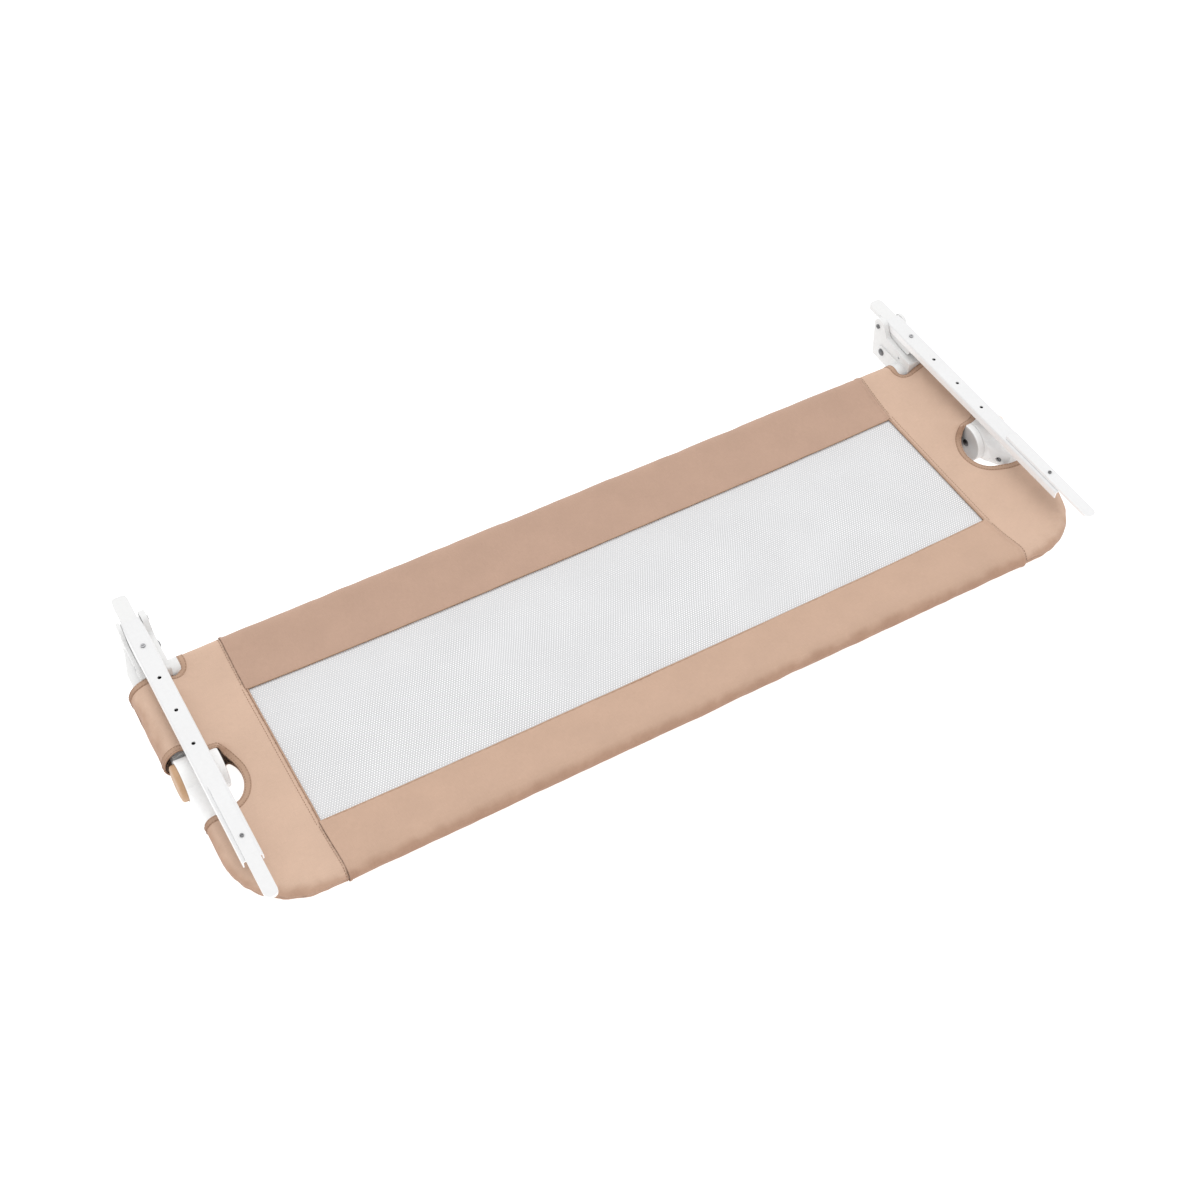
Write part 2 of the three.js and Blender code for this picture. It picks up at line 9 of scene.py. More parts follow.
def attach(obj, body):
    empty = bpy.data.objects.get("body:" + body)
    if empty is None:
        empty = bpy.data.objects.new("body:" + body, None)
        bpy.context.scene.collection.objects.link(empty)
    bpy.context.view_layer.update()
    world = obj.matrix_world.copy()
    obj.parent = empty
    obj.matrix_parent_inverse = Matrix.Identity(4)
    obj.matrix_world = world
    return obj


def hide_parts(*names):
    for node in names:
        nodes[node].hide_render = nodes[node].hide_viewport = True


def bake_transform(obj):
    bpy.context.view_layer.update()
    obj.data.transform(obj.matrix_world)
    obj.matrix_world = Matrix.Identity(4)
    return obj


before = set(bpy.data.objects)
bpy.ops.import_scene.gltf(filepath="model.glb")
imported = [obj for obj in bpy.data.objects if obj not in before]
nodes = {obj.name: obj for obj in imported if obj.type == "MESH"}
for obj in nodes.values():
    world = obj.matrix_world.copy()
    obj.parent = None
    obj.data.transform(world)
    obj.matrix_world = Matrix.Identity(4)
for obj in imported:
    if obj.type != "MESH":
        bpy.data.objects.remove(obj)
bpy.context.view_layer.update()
scene = bpy.context.scene

# Shapes below are worked out in millimetres with the mesh window's centre at x = y = 0 and the tube axes at z = 0.
# The row frame is the same, moved by OFFSET and in metres.
OFFSET = np.array([0.0, -40.0, 27.0])


def row(points):
    return (np.asarray(points, float) + OFFSET) * 0.001


# ---------------------------------------------------------------- camera, light, floor

def camera():
    az, el, roll = math.radians(-31.43), math.radians(50.79), math.radians(1.92)
    back = np.array([math.sin(az) * math.cos(el), -math.cos(az) * math.cos(el), math.sin(el)])
    right = np.cross(-back, [0, 0, 1.0])
    right /= np.linalg.norm(right)
    up = np.cross(right, -back)
    c, s = math.cos(roll), math.sin(roll)
    right, up = c * right + s * up, -s * right + c * up
    data = bpy.data.cameras.new("camera")
    data.sensor_fit, data.sensor_width, data.lens = "HORIZONTAL", 36.0, 52.64
    data.clip_start, data.clip_end = 0.05, 60.0
    ob = bpy.data.objects.new("camera", data)
    scene.collection.objects.link(ob)
    m = Matrix.Identity(4)
    for i in range(3):
        m[i][0], m[i][1], m[i][2] = right[i], up[i], back[i]
        m[i][3] = (-0.7656, -1.2149, 1.7460)[i]
    ob.matrix_world = m
    scene.camera = ob


camera()

scene.view_settings.view_transform = "Standard"
scene.view_settings.look = "None"

world = bpy.data.worlds.new("studio")
world.use_nodes = True
world.node_tree.nodes["Background"].inputs["Color"].default_value = (1.0, 1.0, 1.0, 1.0)
world.node_tree.nodes["Background"].inputs["Strength"].default_value = 0.99
scene.world = world


def sun(name, toward, strength, angle):
    data = bpy.data.lights.new(name, "SUN")
    data.energy, data.angle = strength, math.radians(angle)
    ob = bpy.data.objects.new(name, data)
    scene.collection.objects.link(ob)
    ob.rotation_mode = "QUATERNION"
    ob.rotation_quaternion = Vector(toward).to_track_quat("Z", "Y")


sun("softbox", (0.24, 0.42, 1.0), 0.74, 55)


# ---------------------------------------------------------------- materials

class Graph:
    """A few short ways to wire shader nodes."""

    def __init__(self, name):
        self.mat = bpy.data.materials.new(name)
        self.mat.use_nodes = True
        self.tree = self.mat.node_tree
        self.bsdf = next(n for n in self.tree.nodes if n.type == "BSDF_PRINCIPLED")

    def node(self, kind, **values):
        n = self.tree.nodes.new(kind)
        for k, v in values.items():
            if k in n.inputs:
                n.inputs[k].default_value = v
            else:
                setattr(n, k, v)
        return n

    def link(self, a, b):
        self.tree.links.new(a, b)

    def math(self, operation, a, b=None):
        n = self.node("ShaderNodeMath", operation=operation)
        for i, v in enumerate((a, b)):
            if v is None:
                continue
            if isinstance(v, (int, float)):
                n.inputs[i].default_value = v
            else:
                self.link(v, n.inputs[i])
        return n.outputs[0]

    def noise(self, vector, scale, detail=2.0, rough=0.5):
        n = self.node("ShaderNodeTexNoise")
        n.inputs["Scale"].default_value = scale
        n.inputs["Detail"].default_value = detail
        n.inputs["Roughness"].default_value = rough
        self.link(vector, n.inputs["Vector"])
        return n.outputs["Fac"]

    def ramp(self, fac, stops):
        n = self.node("ShaderNodeValToRGB")
        e = n.color_ramp.elements
        while len(e) < len(stops):
            e.new(0.5)
        for el, (at, colour) in zip(e, stops):
            el.position, el.color = at, (*colour, 1.0)
        self.link(fac, n.inputs["Fac"])
        return n.outputs["Color"]

    def mix(self, fac, a, b, blend="MIX"):
        n = self.node("ShaderNodeMix", data_type="RGBA", blend_type=blend)
        for socket, v in ((n.inputs[0], fac), (n.inputs[6], a), (n.inputs[7], b)):
            if isinstance(v, (int, float)):
                socket.default_value = v
            elif isinstance(v, tuple):
                socket.default_value = (*v, 1.0)
            else:
                self.link(v, socket)
        return n.outputs[2]

    def bump(self, height, distance, strength, after=None):
        n = self.node("ShaderNodeBump")
        n.inputs["Distance"].default_value = distance
        n.inputs["Strength"].default_value = strength
        self.link(height, n.inputs["Height"])
        if after is not None:
            self.link(after, n.inputs["Normal"])
        return n.outputs["Normal"]

    def remap(self, fac, low, high):
        n = self.node("ShaderNodeMapRange")
        n.inputs["To Min"].default_value, n.inputs["To Max"].default_value = low, high
        self.link(fac, n.inputs["Value"])
        return n.outputs["Result"]


def lin(r, g, b):
    def one(v):
        v /= 255
        return v / 12.92 if v <= 0.04045 else ((v + 0.055) / 1.055) ** 2.4
    return one(r), one(g), one(b)


def scaled(c, k):
    return tuple(min(1.0, v * k) for v in c)


def cloth_material(name, colour, pitch=0.62, grain=1.0):
    """Plain-woven polyester: threads in both directions, a heathered colour, slow shade changes, and painted shade that
    darkens the cloth where it faces downward.
    """
    g = Graph(name)
    flat = g.node("ShaderNodeAttribute", attribute_name="flat").outputs["Vector"]
    xyz = g.node("ShaderNodeSeparateXYZ")
    g.link(flat, xyz.inputs[0])
    k = 2 * math.pi / pitch
    u = g.math("SINE", g.math("MULTIPLY", xyz.outputs[0], k))
    v = g.math("SINE", g.math("MULTIPLY", xyz.outputs[1], k))
    over = g.math("MULTIPLY", u, v)
    weave = g.math("ADD", g.math("MULTIPLY", over, 0.5), 0.5)
    slow = g.noise(flat, 0.018, 2.0)
    slub = g.node("ShaderNodeMapping")
    g.link(flat, slub.inputs["Vector"])
    slub.inputs["Scale"].default_value = (0.10, 1.9, 1.0)
    threads = g.noise(slub.outputs[0], 1.0, 2.0)
    slub2 = g.node("ShaderNodeMapping")
    g.link(flat, slub2.inputs["Vector"])
    slub2.inputs["Scale"].default_value = (1.9, 0.10, 1.0)
    threads2 = g.noise(slub2.outputs[0], 1.0, 2.0)
    base = g.ramp(slow, [(0.30, scaled(colour, 0.965)), (0.70, scaled(colour, 1.03))])
    heather = g.ramp(g.math("MULTIPLY", g.math("ADD", threads, threads2), 0.5), [(0.36, (0.93, 0.925, 0.92)), (0.64, (1.05, 1.05, 1.05))])
    base = g.mix(0.8 * grain, base, heather, "MULTIPLY")
    base = g.mix(0.5, base, g.ramp(weave, [(0.0, (0.93, 0.93, 0.93)), (1.0, (1.04, 1.04, 1.04))]), "MULTIPLY")
    # Painted shade: the colour is multiplied by a ramp on the world normal's height, darkening the cloth where it turns
    # sideways and down, as the sleeves' lower edges would be shaded under light from above. The pucker noise, also a
    # bump below, makes the edge of this painted shade wavy.
    way = g.node("ShaderNodeSeparateXYZ")
    g.link(g.node("ShaderNodeNewGeometry").outputs["Normal"], way.inputs[0])
    turn = g.math("MAXIMUM", g.math("MINIMUM", g.math("ADD", g.math("MULTIPLY", way.outputs[2], -3.0), 2.95), 1.0), 0.06)
    pucker = g.math("MULTIPLY", g.math("ADD", g.noise(flat, 0.036, 2.0), -0.5), turn)
    base = g.mix(1.0, base, g.ramp(g.math("ADD", way.outputs[2], g.math("MULTIPLY", pucker, 0.9)), [(0.0, (0.71, 0.62, 0.57)), (0.5, (0.81, 0.745, 0.705)), (0.91, (1.0, 1.0, 1.0))]), "MULTIPLY")
    g.link(base, g.bsdf.inputs["Base Color"])
    g.link(g.remap(threads, 0.74, 0.92), g.bsdf.inputs["Roughness"])
    g.bsdf.inputs["Sheen Weight"].default_value = 0.12
    g.bsdf.inputs["Sheen Roughness"].default_value = 0.45
    g.bsdf.inputs["Specular IOR Level"].default_value = 0.28
    n = g.bump(weave, 0.00012, 0.35)
    n = g.bump(g.math("ADD", threads, threads2), 0.00025, 0.35, n)
    n = g.bump(pucker, 0.011, 0.6, n)
    g.link(n, g.bsdf.inputs["Normal"])
    return g.mat


def thread_material(name, colour):
    g = Graph(name)
    at = g.node("ShaderNodeTexCoord").outputs["Object"]
    twist = g.noise(at, 2600.0, 1.0)
    g.link(g.ramp(twist, [(0.3, scaled(colour, 0.86)), (0.7, scaled(colour, 1.08))]), g.bsdf.inputs["Base Color"])
    g.link(g.remap(twist, 0.55, 0.8), g.bsdf.inputs["Roughness"])
    g.bsdf.inputs["Sheen Weight"].default_value = 0.1
    g.link(g.bump(twist, 0.0001, 0.4), g.bsdf.inputs["Normal"])
    return g.mat


def hard_material(name, colour, rough=(0.34, 0.46), peel=420.0, peel_depth=0.00006, speckle=0.02, coat=0.0, wear=True, painted_shade_end_face=None, top=None):
    """Paint or moulded plastic: slow and fine shade changes, an orange-peel or grained surface, slightly duller
    patches.
    """
    g = Graph(name)
    at = g.node("ShaderNodeTexCoord").outputs["Object"]
    slow, fine = g.noise(at, 9.0, 3.0), g.noise(at, 260.0, 3.0, 0.6)
    base = g.ramp(slow, [(0.3, scaled(colour, 1 - 0.02)), (0.7, scaled(colour, 1.012))])
    base = g.mix(1.0, base, g.ramp(fine, [(0.35, (1 - speckle,) * 3), (0.65, (1 + 0.3 * speckle,) * 3)]), "MULTIPLY")
    way = g.node("ShaderNodeSeparateXYZ")
    g.link(g.node("ShaderNodeNewGeometry").outputs["Normal"], way.inputs[0])
    # Painted shade: faces turned along x, such as the flat sides of a disc, are darkened by this factor.
    if painted_shade_end_face:
        base = g.mix(1.0, base, g.ramp(g.math("ABSOLUTE", way.outputs[0]), [(0.75, (1.0, 1.0, 1.0)), (0.97, (painted_shade_end_face,) * 3)]), "MULTIPLY")
    # Painted light and shade: faces turned up or down are darkened by this factor, so the side faces read lighter.
    if top:
        base = g.mix(1.0, base, g.ramp(g.math("ABSOLUTE", way.outputs[2]), [(0.1, (1.0, 1.0, 1.0)), (0.7, (top,) * 3)]), "MULTIPLY")
    g.link(base, g.bsdf.inputs["Base Color"])
    patches = g.noise(at, 38.0, 4.0, 0.65)
    g.link(g.remap(patches, rough[0], rough[1]), g.bsdf.inputs["Roughness"])
    g.bsdf.inputs["Specular IOR Level"].default_value = 0.4
    if coat:
        g.bsdf.inputs["Coat Weight"].default_value = coat
        g.bsdf.inputs["Coat Roughness"].default_value = 0.25
    n = g.bump(g.noise(at, peel, 1.0), peel_depth, 0.5)
    n = g.bump(fine, peel_depth * 0.4, 0.3, n)
    g.link(n, g.bsdf.inputs["Normal"])
    return g.mat


def metal_material(name, colour, rough=(0.28, 0.5)):
    """Zinc-plated or bare steel: fine grain, cloudy plating."""
    g = Graph(name)
    at = g.node("ShaderNodeTexCoord").outputs["Object"]
    cloudy, fine = g.noise(at, 120.0, 3.0), g.noise(at, 900.0, 2.0)
    g.link(g.ramp(cloudy, [(0.3, scaled(colour, 0.85)), (0.7, scaled(colour, 1.06))]), g.bsdf.inputs["Base Color"])
    g.bsdf.inputs["Metallic"].default_value = 0.9
    g.link(g.remap(fine, rough[0], rough[1]), g.bsdf.inputs["Roughness"])
    g.link(g.bump(fine, 0.00004, 0.4), g.bsdf.inputs["Normal"])
    return g.mat


def net_material():
    g = Graph("net_thread")
    flat = g.node("ShaderNodeAttribute", attribute_name="flat").outputs["Vector"]
    slow, fine = g.noise(flat, 0.012, 2.0), g.noise(flat, 2.2, 1.0)
    base = g.ramp(slow, [(0.3, (0.61, 0.612, 0.62)), (0.7, (0.64, 0.642, 0.65))])
    base = g.mix(1.0, base, g.ramp(fine, [(0.3, (0.94, 0.94, 0.94)), (0.7, (1.03, 1.03, 1.03))]), "MULTIPLY")
    g.link(base, g.bsdf.inputs["Base Color"])
    g.link(g.remap(fine, 0.6, 0.8), g.bsdf.inputs["Roughness"])
    g.bsdf.inputs["Specular IOR Level"].default_value = 0.3
    g.link(g.bump(fine, 0.0001, 0.4), g.bsdf.inputs["Normal"])
    return g.mat


# Painted light and shade: one beige cloth in three tones, the end panels lightest, the near band darker and the far
# band darkest, standing in for how light falls on each panel.
END_COLOUR_PAINTED_LIGHT = lin(205, 175, 154)
NEAR_COLOUR_PAINTED_SHADE = lin(193, 162, 141)
FAR_COLOUR_PAINTED_SHADE = lin(184, 153, 134)
HEM_COLOUR = lin(184, 153, 131)

M = {
    "end": cloth_material("beige_cloth_end_painted_light", END_COLOUR_PAINTED_LIGHT),
    "near": cloth_material("beige_cloth_near_painted_shade", NEAR_COLOUR_PAINTED_SHADE),
    "far": cloth_material("beige_cloth_far_painted_shade", FAR_COLOUR_PAINTED_SHADE),
    "hem": cloth_material("beige_tape", HEM_COLOUR, pitch=0.8),
    "thread": thread_material("beige_thread", lin(150, 117, 95)),
    "net": net_material(),
    # painted light and shade: top and bottom faces darkened to 0.813 of the colour, so the side faces read lighter
    "paint": hard_material("white_powder_coat_painted_shade", (0.92, 0.92, 0.923), rough=(0.30, 0.42), peel=520.0, peel_depth=0.00005, top=0.813),
    "plastic": hard_material("white_plastic", (0.765, 0.765, 0.76), rough=(0.42, 0.55), peel=1300.0, peel_depth=0.00004),
    # painted shade: the disc's flat faces darkened to 0.54 of the colour
    "disc": hard_material("white_plastic_disc_painted_shade", (0.9, 0.9, 0.896), rough=(0.42, 0.55), peel=1300.0, peel_depth=0.00004, painted_shade_end_face=0.54),
    "hinge": hard_material("white_plastic_hinge", (0.9, 0.9, 0.896), rough=(0.42, 0.55), peel=1300.0, peel_depth=0.00004),
    "tan": hard_material("tan_plastic", lin(190, 153, 118), rough=(0.42, 0.56), peel=1200.0, peel_depth=0.00005, speckle=0.05),
    "zinc": metal_material("zinc_plate", (0.62, 0.62, 0.64)),
    "steel": metal_material("dark_zinc", (0.17, 0.17, 0.175)),
    "mid": metal_material("grey_zinc", (0.36, 0.36, 0.37)),
    # painted shade: near-black for the cups that stand in for the shadow in the arm's holes
    "dark": hard_material("painted_shade_hole_black", (0.012, 0.012, 0.013), rough=(0.6, 0.8)),
    "floor": None,
}


def floor():
    g = Graph("pale_floor")
    at = g.node("ShaderNodeTexCoord").outputs["Object"]
    g.link(g.ramp(g.noise(at, 2.0, 2.0), [(0.3, (0.495, 0.495, 0.495)), (0.7, (0.505, 0.505, 0.505))]), g.bsdf.inputs["Base Color"])
    g.bsdf.inputs["Roughness"].default_value = 0.9
    g.bsdf.inputs["Specular IOR Level"].default_value = 0.0
    g.bsdf.inputs["Emission Color"].default_value = (1.0, 1.0, 1.0, 1.0)
    g.bsdf.inputs["Emission Strength"].default_value = 0.86
    me = bpy.data.meshes.new("floor")
    s = 14.0
    me.from_pydata([(-s, -s, 0), (s, -s, 0), (s, s, 0), (-s, s, 0)], [], [(0, 1, 2, 3)])
    me.materials.append(g.mat)
    ob = bpy.data.objects.new("floor", me)
    scene.collection.objects.link(ob)
    ob.location.z = -0.0005


floor()


# ---------------------------------------------------------------- mesh helpers

def make(name, points, faces, material, smooth=True, flat=None):
    """points in millimetres of the window's frame."""
    me = bpy.data.meshes.new(name)
    me.from_pydata(row(points).tolist(), [], faces)
    me.materials.append(material)
    if smooth:
        me.polygons.foreach_set("use_smooth", np.ones(len(me.polygons), bool))
    if flat is not None:
        a = me.attributes.new("flat", "FLOAT_VECTOR", "POINT")
        f = np.zeros((len(points), 3), np.float32)
        f[:, :2] = np.asarray(flat, float)[:, :2]
        a.data.foreach_set("vector", f.ravel())
    me.update()
    ob = bpy.data.objects.new(name, me)
    scene.collection.objects.link(ob)
    return ob


def grid_faces(n, m, base=0, close_n=False, flip=False):
    """Quads of an n by m grid of points, stored row after row."""
    out = []
    for i in range(n if close_n else n - 1):
        for j in range(m - 1):
            a, b = base + i * m + j, base + ((i + 1) % n) * m + j
            q = (a, b, b + 1, a + 1)
            out.append(q[::-1] if flip else q)
    return out


def wobble(p, size, seed=0.0, stretch=(1, 1, 1)):
    """Smooth noise from -1 to 1 at each point of p, with features about size millimetres wide."""
    q = np.asarray(p, float) / size * np.asarray(stretch) + np.array([seed * 3.1, -seed * 1.7, seed * 0.9])
    return np.array([noise.noise(Vector(v)) for v in q])


def smoothstep(a, b, x):
    t = np.clip((np.asarray(x, float) - a) / (b - a), 0, 1)
    return t * t * (3 - 2 * t)


def solidify(ob, thickness, offset=-1.0):
    m = ob.modifiers.new("cloth_thickness", "SOLIDIFY")
    m.thickness, m.offset = thickness * 0.001, offset
    m.use_even_offset = False
    return m


# ---------------------------------------------------------------- cover: measures shared by its pieces

R_U, R_L = 14.0, 25.2            # the sleeve round the tubes, and the loose one round the lower posts
WIN_X, WIN_N, WIN_F = 477.0, -107.5, 107.0
AX_N, AX_F, AX_P = -176.0, 177.6, 580.8
BX, BY, BR = 505.8, -101.0, 75.0  # the U tube's bend
CUT = (577.0, -2.0, 47.5)
NOTCH = (549.0, 175.4, 14.0)
EDGE_Z = 1.3
HINGE_R = 28.0                   # what the cloth keeps off the hinge's axis, where it runs over the disc


def near_edge(x):
    return WIN_N - 3.6 * (1 - np.abs(np.asarray(x, float) / WIN_X) ** 3)


def far_edge(x):
    return WIN_F - 4.0 * (1 - np.abs(np.asarray(x, float) / WIN_X) ** 3)


def taut(e, reach, radius):
    """Height of a taut cloth at distance e from the window's edge, running up over a tube whose axis is at reach."""
    length = math.hypot(reach, EDGE_Z)
    angle = math.asin(radius / length) + math.atan2(-EDGE_Z, reach)
    e_t = reach - radius * math.sin(angle)
    e = np.asarray(e, float)
    sag = 1.3 * np.sin(np.pi * np.clip(e / e_t, 0, 1)) ** 1.5
    return np.where(e < e_t, EDGE_Z + e * math.tan(angle) - sag, np.sqrt(np.maximum(radius**2 - (reach - e) ** 2, 0)))


def inward(x, y):
    """Distance from the U tube's axis line, positive towards the window, for the right-hand side."""
    return np.where(y < BY, np.where(x > BX, BR - np.hypot(x - BX, y - BY), y - AX_N), AX_P - x)


def arc_points(cx, cy, r, a0, a1, n):
    a = np.radians(np.linspace(a0, a1, n + 1))
    return np.stack([cx + r * np.cos(a), cy + r * np.sin(a)], 1)


W_U, W_L = R_U * math.pi / 2, R_L * math.pi / 2


def cut_line():
    """The half-round cut-out's edge in the flat cut, from the upper sleeve's outer side to the lower sleeve's."""
    return np.vstack([[[AX_P + W_U, -49.8]], [[AX_P + 10, -49.8]], arc_points(*CUT, -90, -205, 34), [[536.3, 23.0], [538.9, 26.0], [541.5, 27.7], [544.0, 28.5], [549.0, 29.0], [553.6, 29.6], [560.0, 31.2], [567.0, 34.4], [573.0, 39.2], [578.0, 43.6], [584.0, 45.6]], [[AX_P + 12, 45.8]], [[AX_P + 25, 45.8]], [[AX_P + W_L, 45.8]]])


def notch_line():
    """The corner notch's edge in the flat cut, from the lower sleeve's outer side to the far bar's outer side."""
    return np.vstack([[[AX_P + W_L, 161.4]], [[AX_P + 20, 161.4]], [[AX_P, 161.4]], [[563.0, 161.4]], arc_points(*NOTCH, -90, -180, 10), [[535.0, AX_F + W_U]]])


def fine(line, step):
    """The line with points about step apart, its own points kept."""
    out = [line[0]]
    for a, b in zip(line[:-1], line[1:]):
        n = max(1, int(round(np.linalg.norm(b - a) / step)))
        for k in range(1, n + 1):
            out.append(a + (b - a) * k / n)
    return np.array(out)


def inside(points, loop):
    x, y = points[:, 0], points[:, 1]
    hit = np.zeros(len(points), bool)
    for (x0, y0), (x1, y1) in zip(loop, np.roll(loop, -1, axis=0)):
        cross = (y0 > y) != (y1 > y)
        with np.errstate(divide="ignore", invalid="ignore"):
            hit ^= cross & (x < (x1 - x0) * (y - y0) / (y1 - y0) + x0)
    return hit


def off_edge(points, loop):
    a, b = loop, np.roll(loop, -1, axis=0)
    best = np.full(len(points), 1e9)
    for p, q in zip(a, b):
        d = q - p
        t = np.clip(((points - p) @ d) / max(d @ d, 1e-9), 0, 1)
        best = np.minimum(best, np.linalg.norm(points - p - t[:, None] * d, axis=1))
    return best


def membrane():
    """The upper cloth of an end panel as a taut skin from the window's edge over the tubes, on a grid."""
    step = 1.5
    xs, ys = np.arange(WIN_X, AX_P + 1.0, step), np.arange(AX_N - 1.0, AX_F + 1.8, step)
    X, Y = np.meshgrid(xs, ys, indexing="ij")
    d = inward(X, Y)
    radius = np.where(Y > 0, R_L, R_U)
    over = np.where(d < radius, np.sqrt(np.maximum(radius**2 - d**2, 0)), 0.0)
    bar = AX_F - Y
    over = np.maximum(over, np.where((bar < R_U) & (X < 535), np.sqrt(np.maximum(R_U**2 - np.clip(bar, 0, None) ** 2, 0)), 0.0))
    over = np.maximum(over, np.where((X > 541.2) & (Y > 20) & (Y < 48), np.sqrt(np.maximum(HINGE_R**2 - (Y - 20) ** 2, 0)), 0))  # over the hinge's disc
    where = np.stack([X.ravel(), Y.ravel()], 1)
    cut = np.vstack([cut_line(), [[700, 45.8], [700, -49.8]]])
    in_cut = inside(where, cut).reshape(X.shape)
    in_notch = (np.hypot(X - NOTCH[0], Y - NOTCH[1]) < NOTCH[2]) | ((X > NOTCH[0]) & (Y > NOTCH[1] - NOTCH[2])) | ((X > NOTCH[0] - NOTCH[2]) & (Y > NOTCH[1]))
    cloth = ~in_cut & ~in_notch & (d >= -step) & (Y <= AX_F + step)
    near_cut = (off_edge(where, cut).reshape(X.shape) < 2.2) & ~in_cut
    near_notch = ((np.hypot(X - NOTCH[0], Y - NOTCH[1]) < NOTCH[2] + 2.2) | ((X >= NOTCH[0]) & (Y > NOTCH[1] - NOTCH[2] - 2.2))) & ~in_notch & (Y < 168) & (X < 556)
    H = np.maximum(over, EDGE_Z)
    fixed = np.zeros_like(cloth)
    H[0] = np.where(Y[0] < WIN_N, taut(WIN_N - Y[0], WIN_N - AX_N, R_U), np.where(Y[0] > WIN_F, taut(Y[0] - WIN_F, AX_F - WIN_F, R_U), EDGE_Z))
    fixed[0] = True
    crest = (d < step) & cloth
    H[crest], fixed[crest] = radius[crest], True
    top = (bar < step) & (X < 535) & cloth
    H[top], fixed[top] = R_U, True
    # the two layers are bound together along the cut-outs, and part where the sleeve begins
    bound = near_cut & (X < 560)
    share = smoothstep(529, 562, X)
    rise = np.interp(X, [529, 531, 533.9, 536.3, 538.9, 541.2], [2.6, 3.6, 5.2, 8.0, 12.0, 19.5])
    target = np.where(Y > 0, np.maximum(rise, over * (X > 541.2)), np.maximum(EDGE_Z + 0.5 + (11.5 - EDGE_Z) * share, over * (share > 0.7)))
    H[bound], fixed[bound] = target[bound], True
    bound = near_notch
    target = np.maximum(9.0 + 11.0 * smoothstep(543, 562, X), np.where(X < 535, over, 0))
    H[bound], fixed[bound] = target[bound], True
    weight = cloth.astype(float)

    def around(a):
        p = np.pad(a, 1)
        return p[2:, 1:-1] + p[:-2, 1:-1] + p[1:-1, 2:] + p[1:-1, :-2]

    count = np.maximum(around(weight), 1e-9)
    free = cloth & ~fixed
    for _ in range(2600):
        H = np.where(free, np.maximum(around(H * weight) / count, over), H)
    for _ in range(30):  # outside the cloth, carry on from its edge
        grown = around(H * weight) / np.maximum(around(weight), 1e-9)
        new = (weight == 0) & (around(weight) > 0)
        H[new] = grown[new]
        weight[new] = 1.0
    return xs, ys, H


MX, MY, MH = membrane()


def skin(x, y):
    """Bilinear height of the end panel's upper cloth."""
    i = np.clip((x - MX[0]) / (MX[1] - MX[0]), 0, len(MX) - 1.001)
    j = np.clip((y - MY[0]) / (MY[1] - MY[0]), 0, len(MY) - 1.001)
    a, b = i.astype(int), j.astype(int)
    s, t = i - a, j - b
    return MH[a, b] * (1 - s) * (1 - t) + MH[a + 1, b] * s * (1 - t) + MH[a, b + 1] * (1 - s) * t + MH[a + 1, b + 1] * s * t


def lay(flat):
    """A point of the end panel's flat cut, on the right-hand side's upper layer, to its place. Beyond a tube's axis the cut's distance is arc length."""
    x, y = flat[:, 0].copy(), flat[:, 1].copy()
    z = skin(x, y)
    d = inward(x, y)
    radius = np.where(y > 0, R_L, R_U)
    hyp = np.maximum(np.hypot(x - BX, y - BY), 1e-9)
    corner, side = (y < BY) & (x > BX), y >= BY
    nx = np.where(side, 1.0, np.where(corner, (x - BX) / hyp, 0.0))
    ny = np.where(side, 0.0, np.where(corner, (y - BY) / hyp, -1.0))
    wrap = d < 0
    phi = np.where(wrap, -d / radius, 0)
    x = np.where(wrap, x + nx * (d + radius * np.sin(phi)), x)
    y = np.where(wrap, y + ny * (d + radius * np.sin(phi)), y)
    z = np.where(wrap, radius * np.cos(phi), z)
    far = flat[:, 1] > AX_F
    phi = np.where(far, (flat[:, 1] - AX_F) / R_U, 0)
    far &= flat[:, 0] < 536
    y = np.where(far, AX_F + R_U * np.sin(phi), y)
    z = np.where(far, R_U * np.cos(phi), z)
    return np.stack([x, y, z], 1)


def outline():
    parts = [
        [[WIN_X, WIN_N], [WIN_X, AX_N - W_U], [BX, AX_N - W_U]],
        arc_points(BX, BY, BR + W_U, -90, 0, 40)[1:],
        cut_line(),
        notch_line(),
        [[WIN_X, AX_F + W_U], [WIN_X, WIN_F], [WIN_X, WIN_N]],
    ]
    line = fine(np.vstack([np.asarray(p, float) for p in parts]), 3.4)
    keep = [0]
    for i in range(1, len(line)):
        if np.linalg.norm(line[i] - line[keep[-1]]) > 0.3:
            keep.append(i)
    line = line[keep]
    return line[:-1] if np.linalg.norm(line[0] - line[-1]) < 0.3 else line


def triangulated(loop, step):
    lo, hi = loop.min(0), loop.max(0)
    pts, odd = [], False
    y = lo[1]
    while y < hi[1]:
        xs = np.arange(lo[0] + (step / 2 if odd else 0), hi[0], step)
        pts.append(np.stack([xs, np.full(len(xs), y)], 1))
        y += step * 0.866
        odd = not odd
    pts = np.vstack(pts)
    pts = pts[inside(pts, loop)]
    pts = pts[off_edge(pts, loop) > step * 0.55]
    allp = np.vstack([loop, pts])
    v, _, f, *_ = delaunay_2d_cdt([Vector(p) for p in allp], [], [list(range(len(loop)))], 1, 1e-6)
    v = np.array([tuple(p) for p in v])
    tris = []
    for t in f:
        for k in range(1, len(t) - 1):
            a, b, c = v[t[0]], v[t[k]], v[t[k + 1]]
            area = (b[0] - a[0]) * (c[1] - a[1]) - (b[1] - a[1]) * (c[0] - a[0])
            if abs(area) > 1e-7:
                tris.append((t[0], t[k], t[k + 1]) if area > 0 else (t[0], t[k + 1], t[k]))
    return v, tris


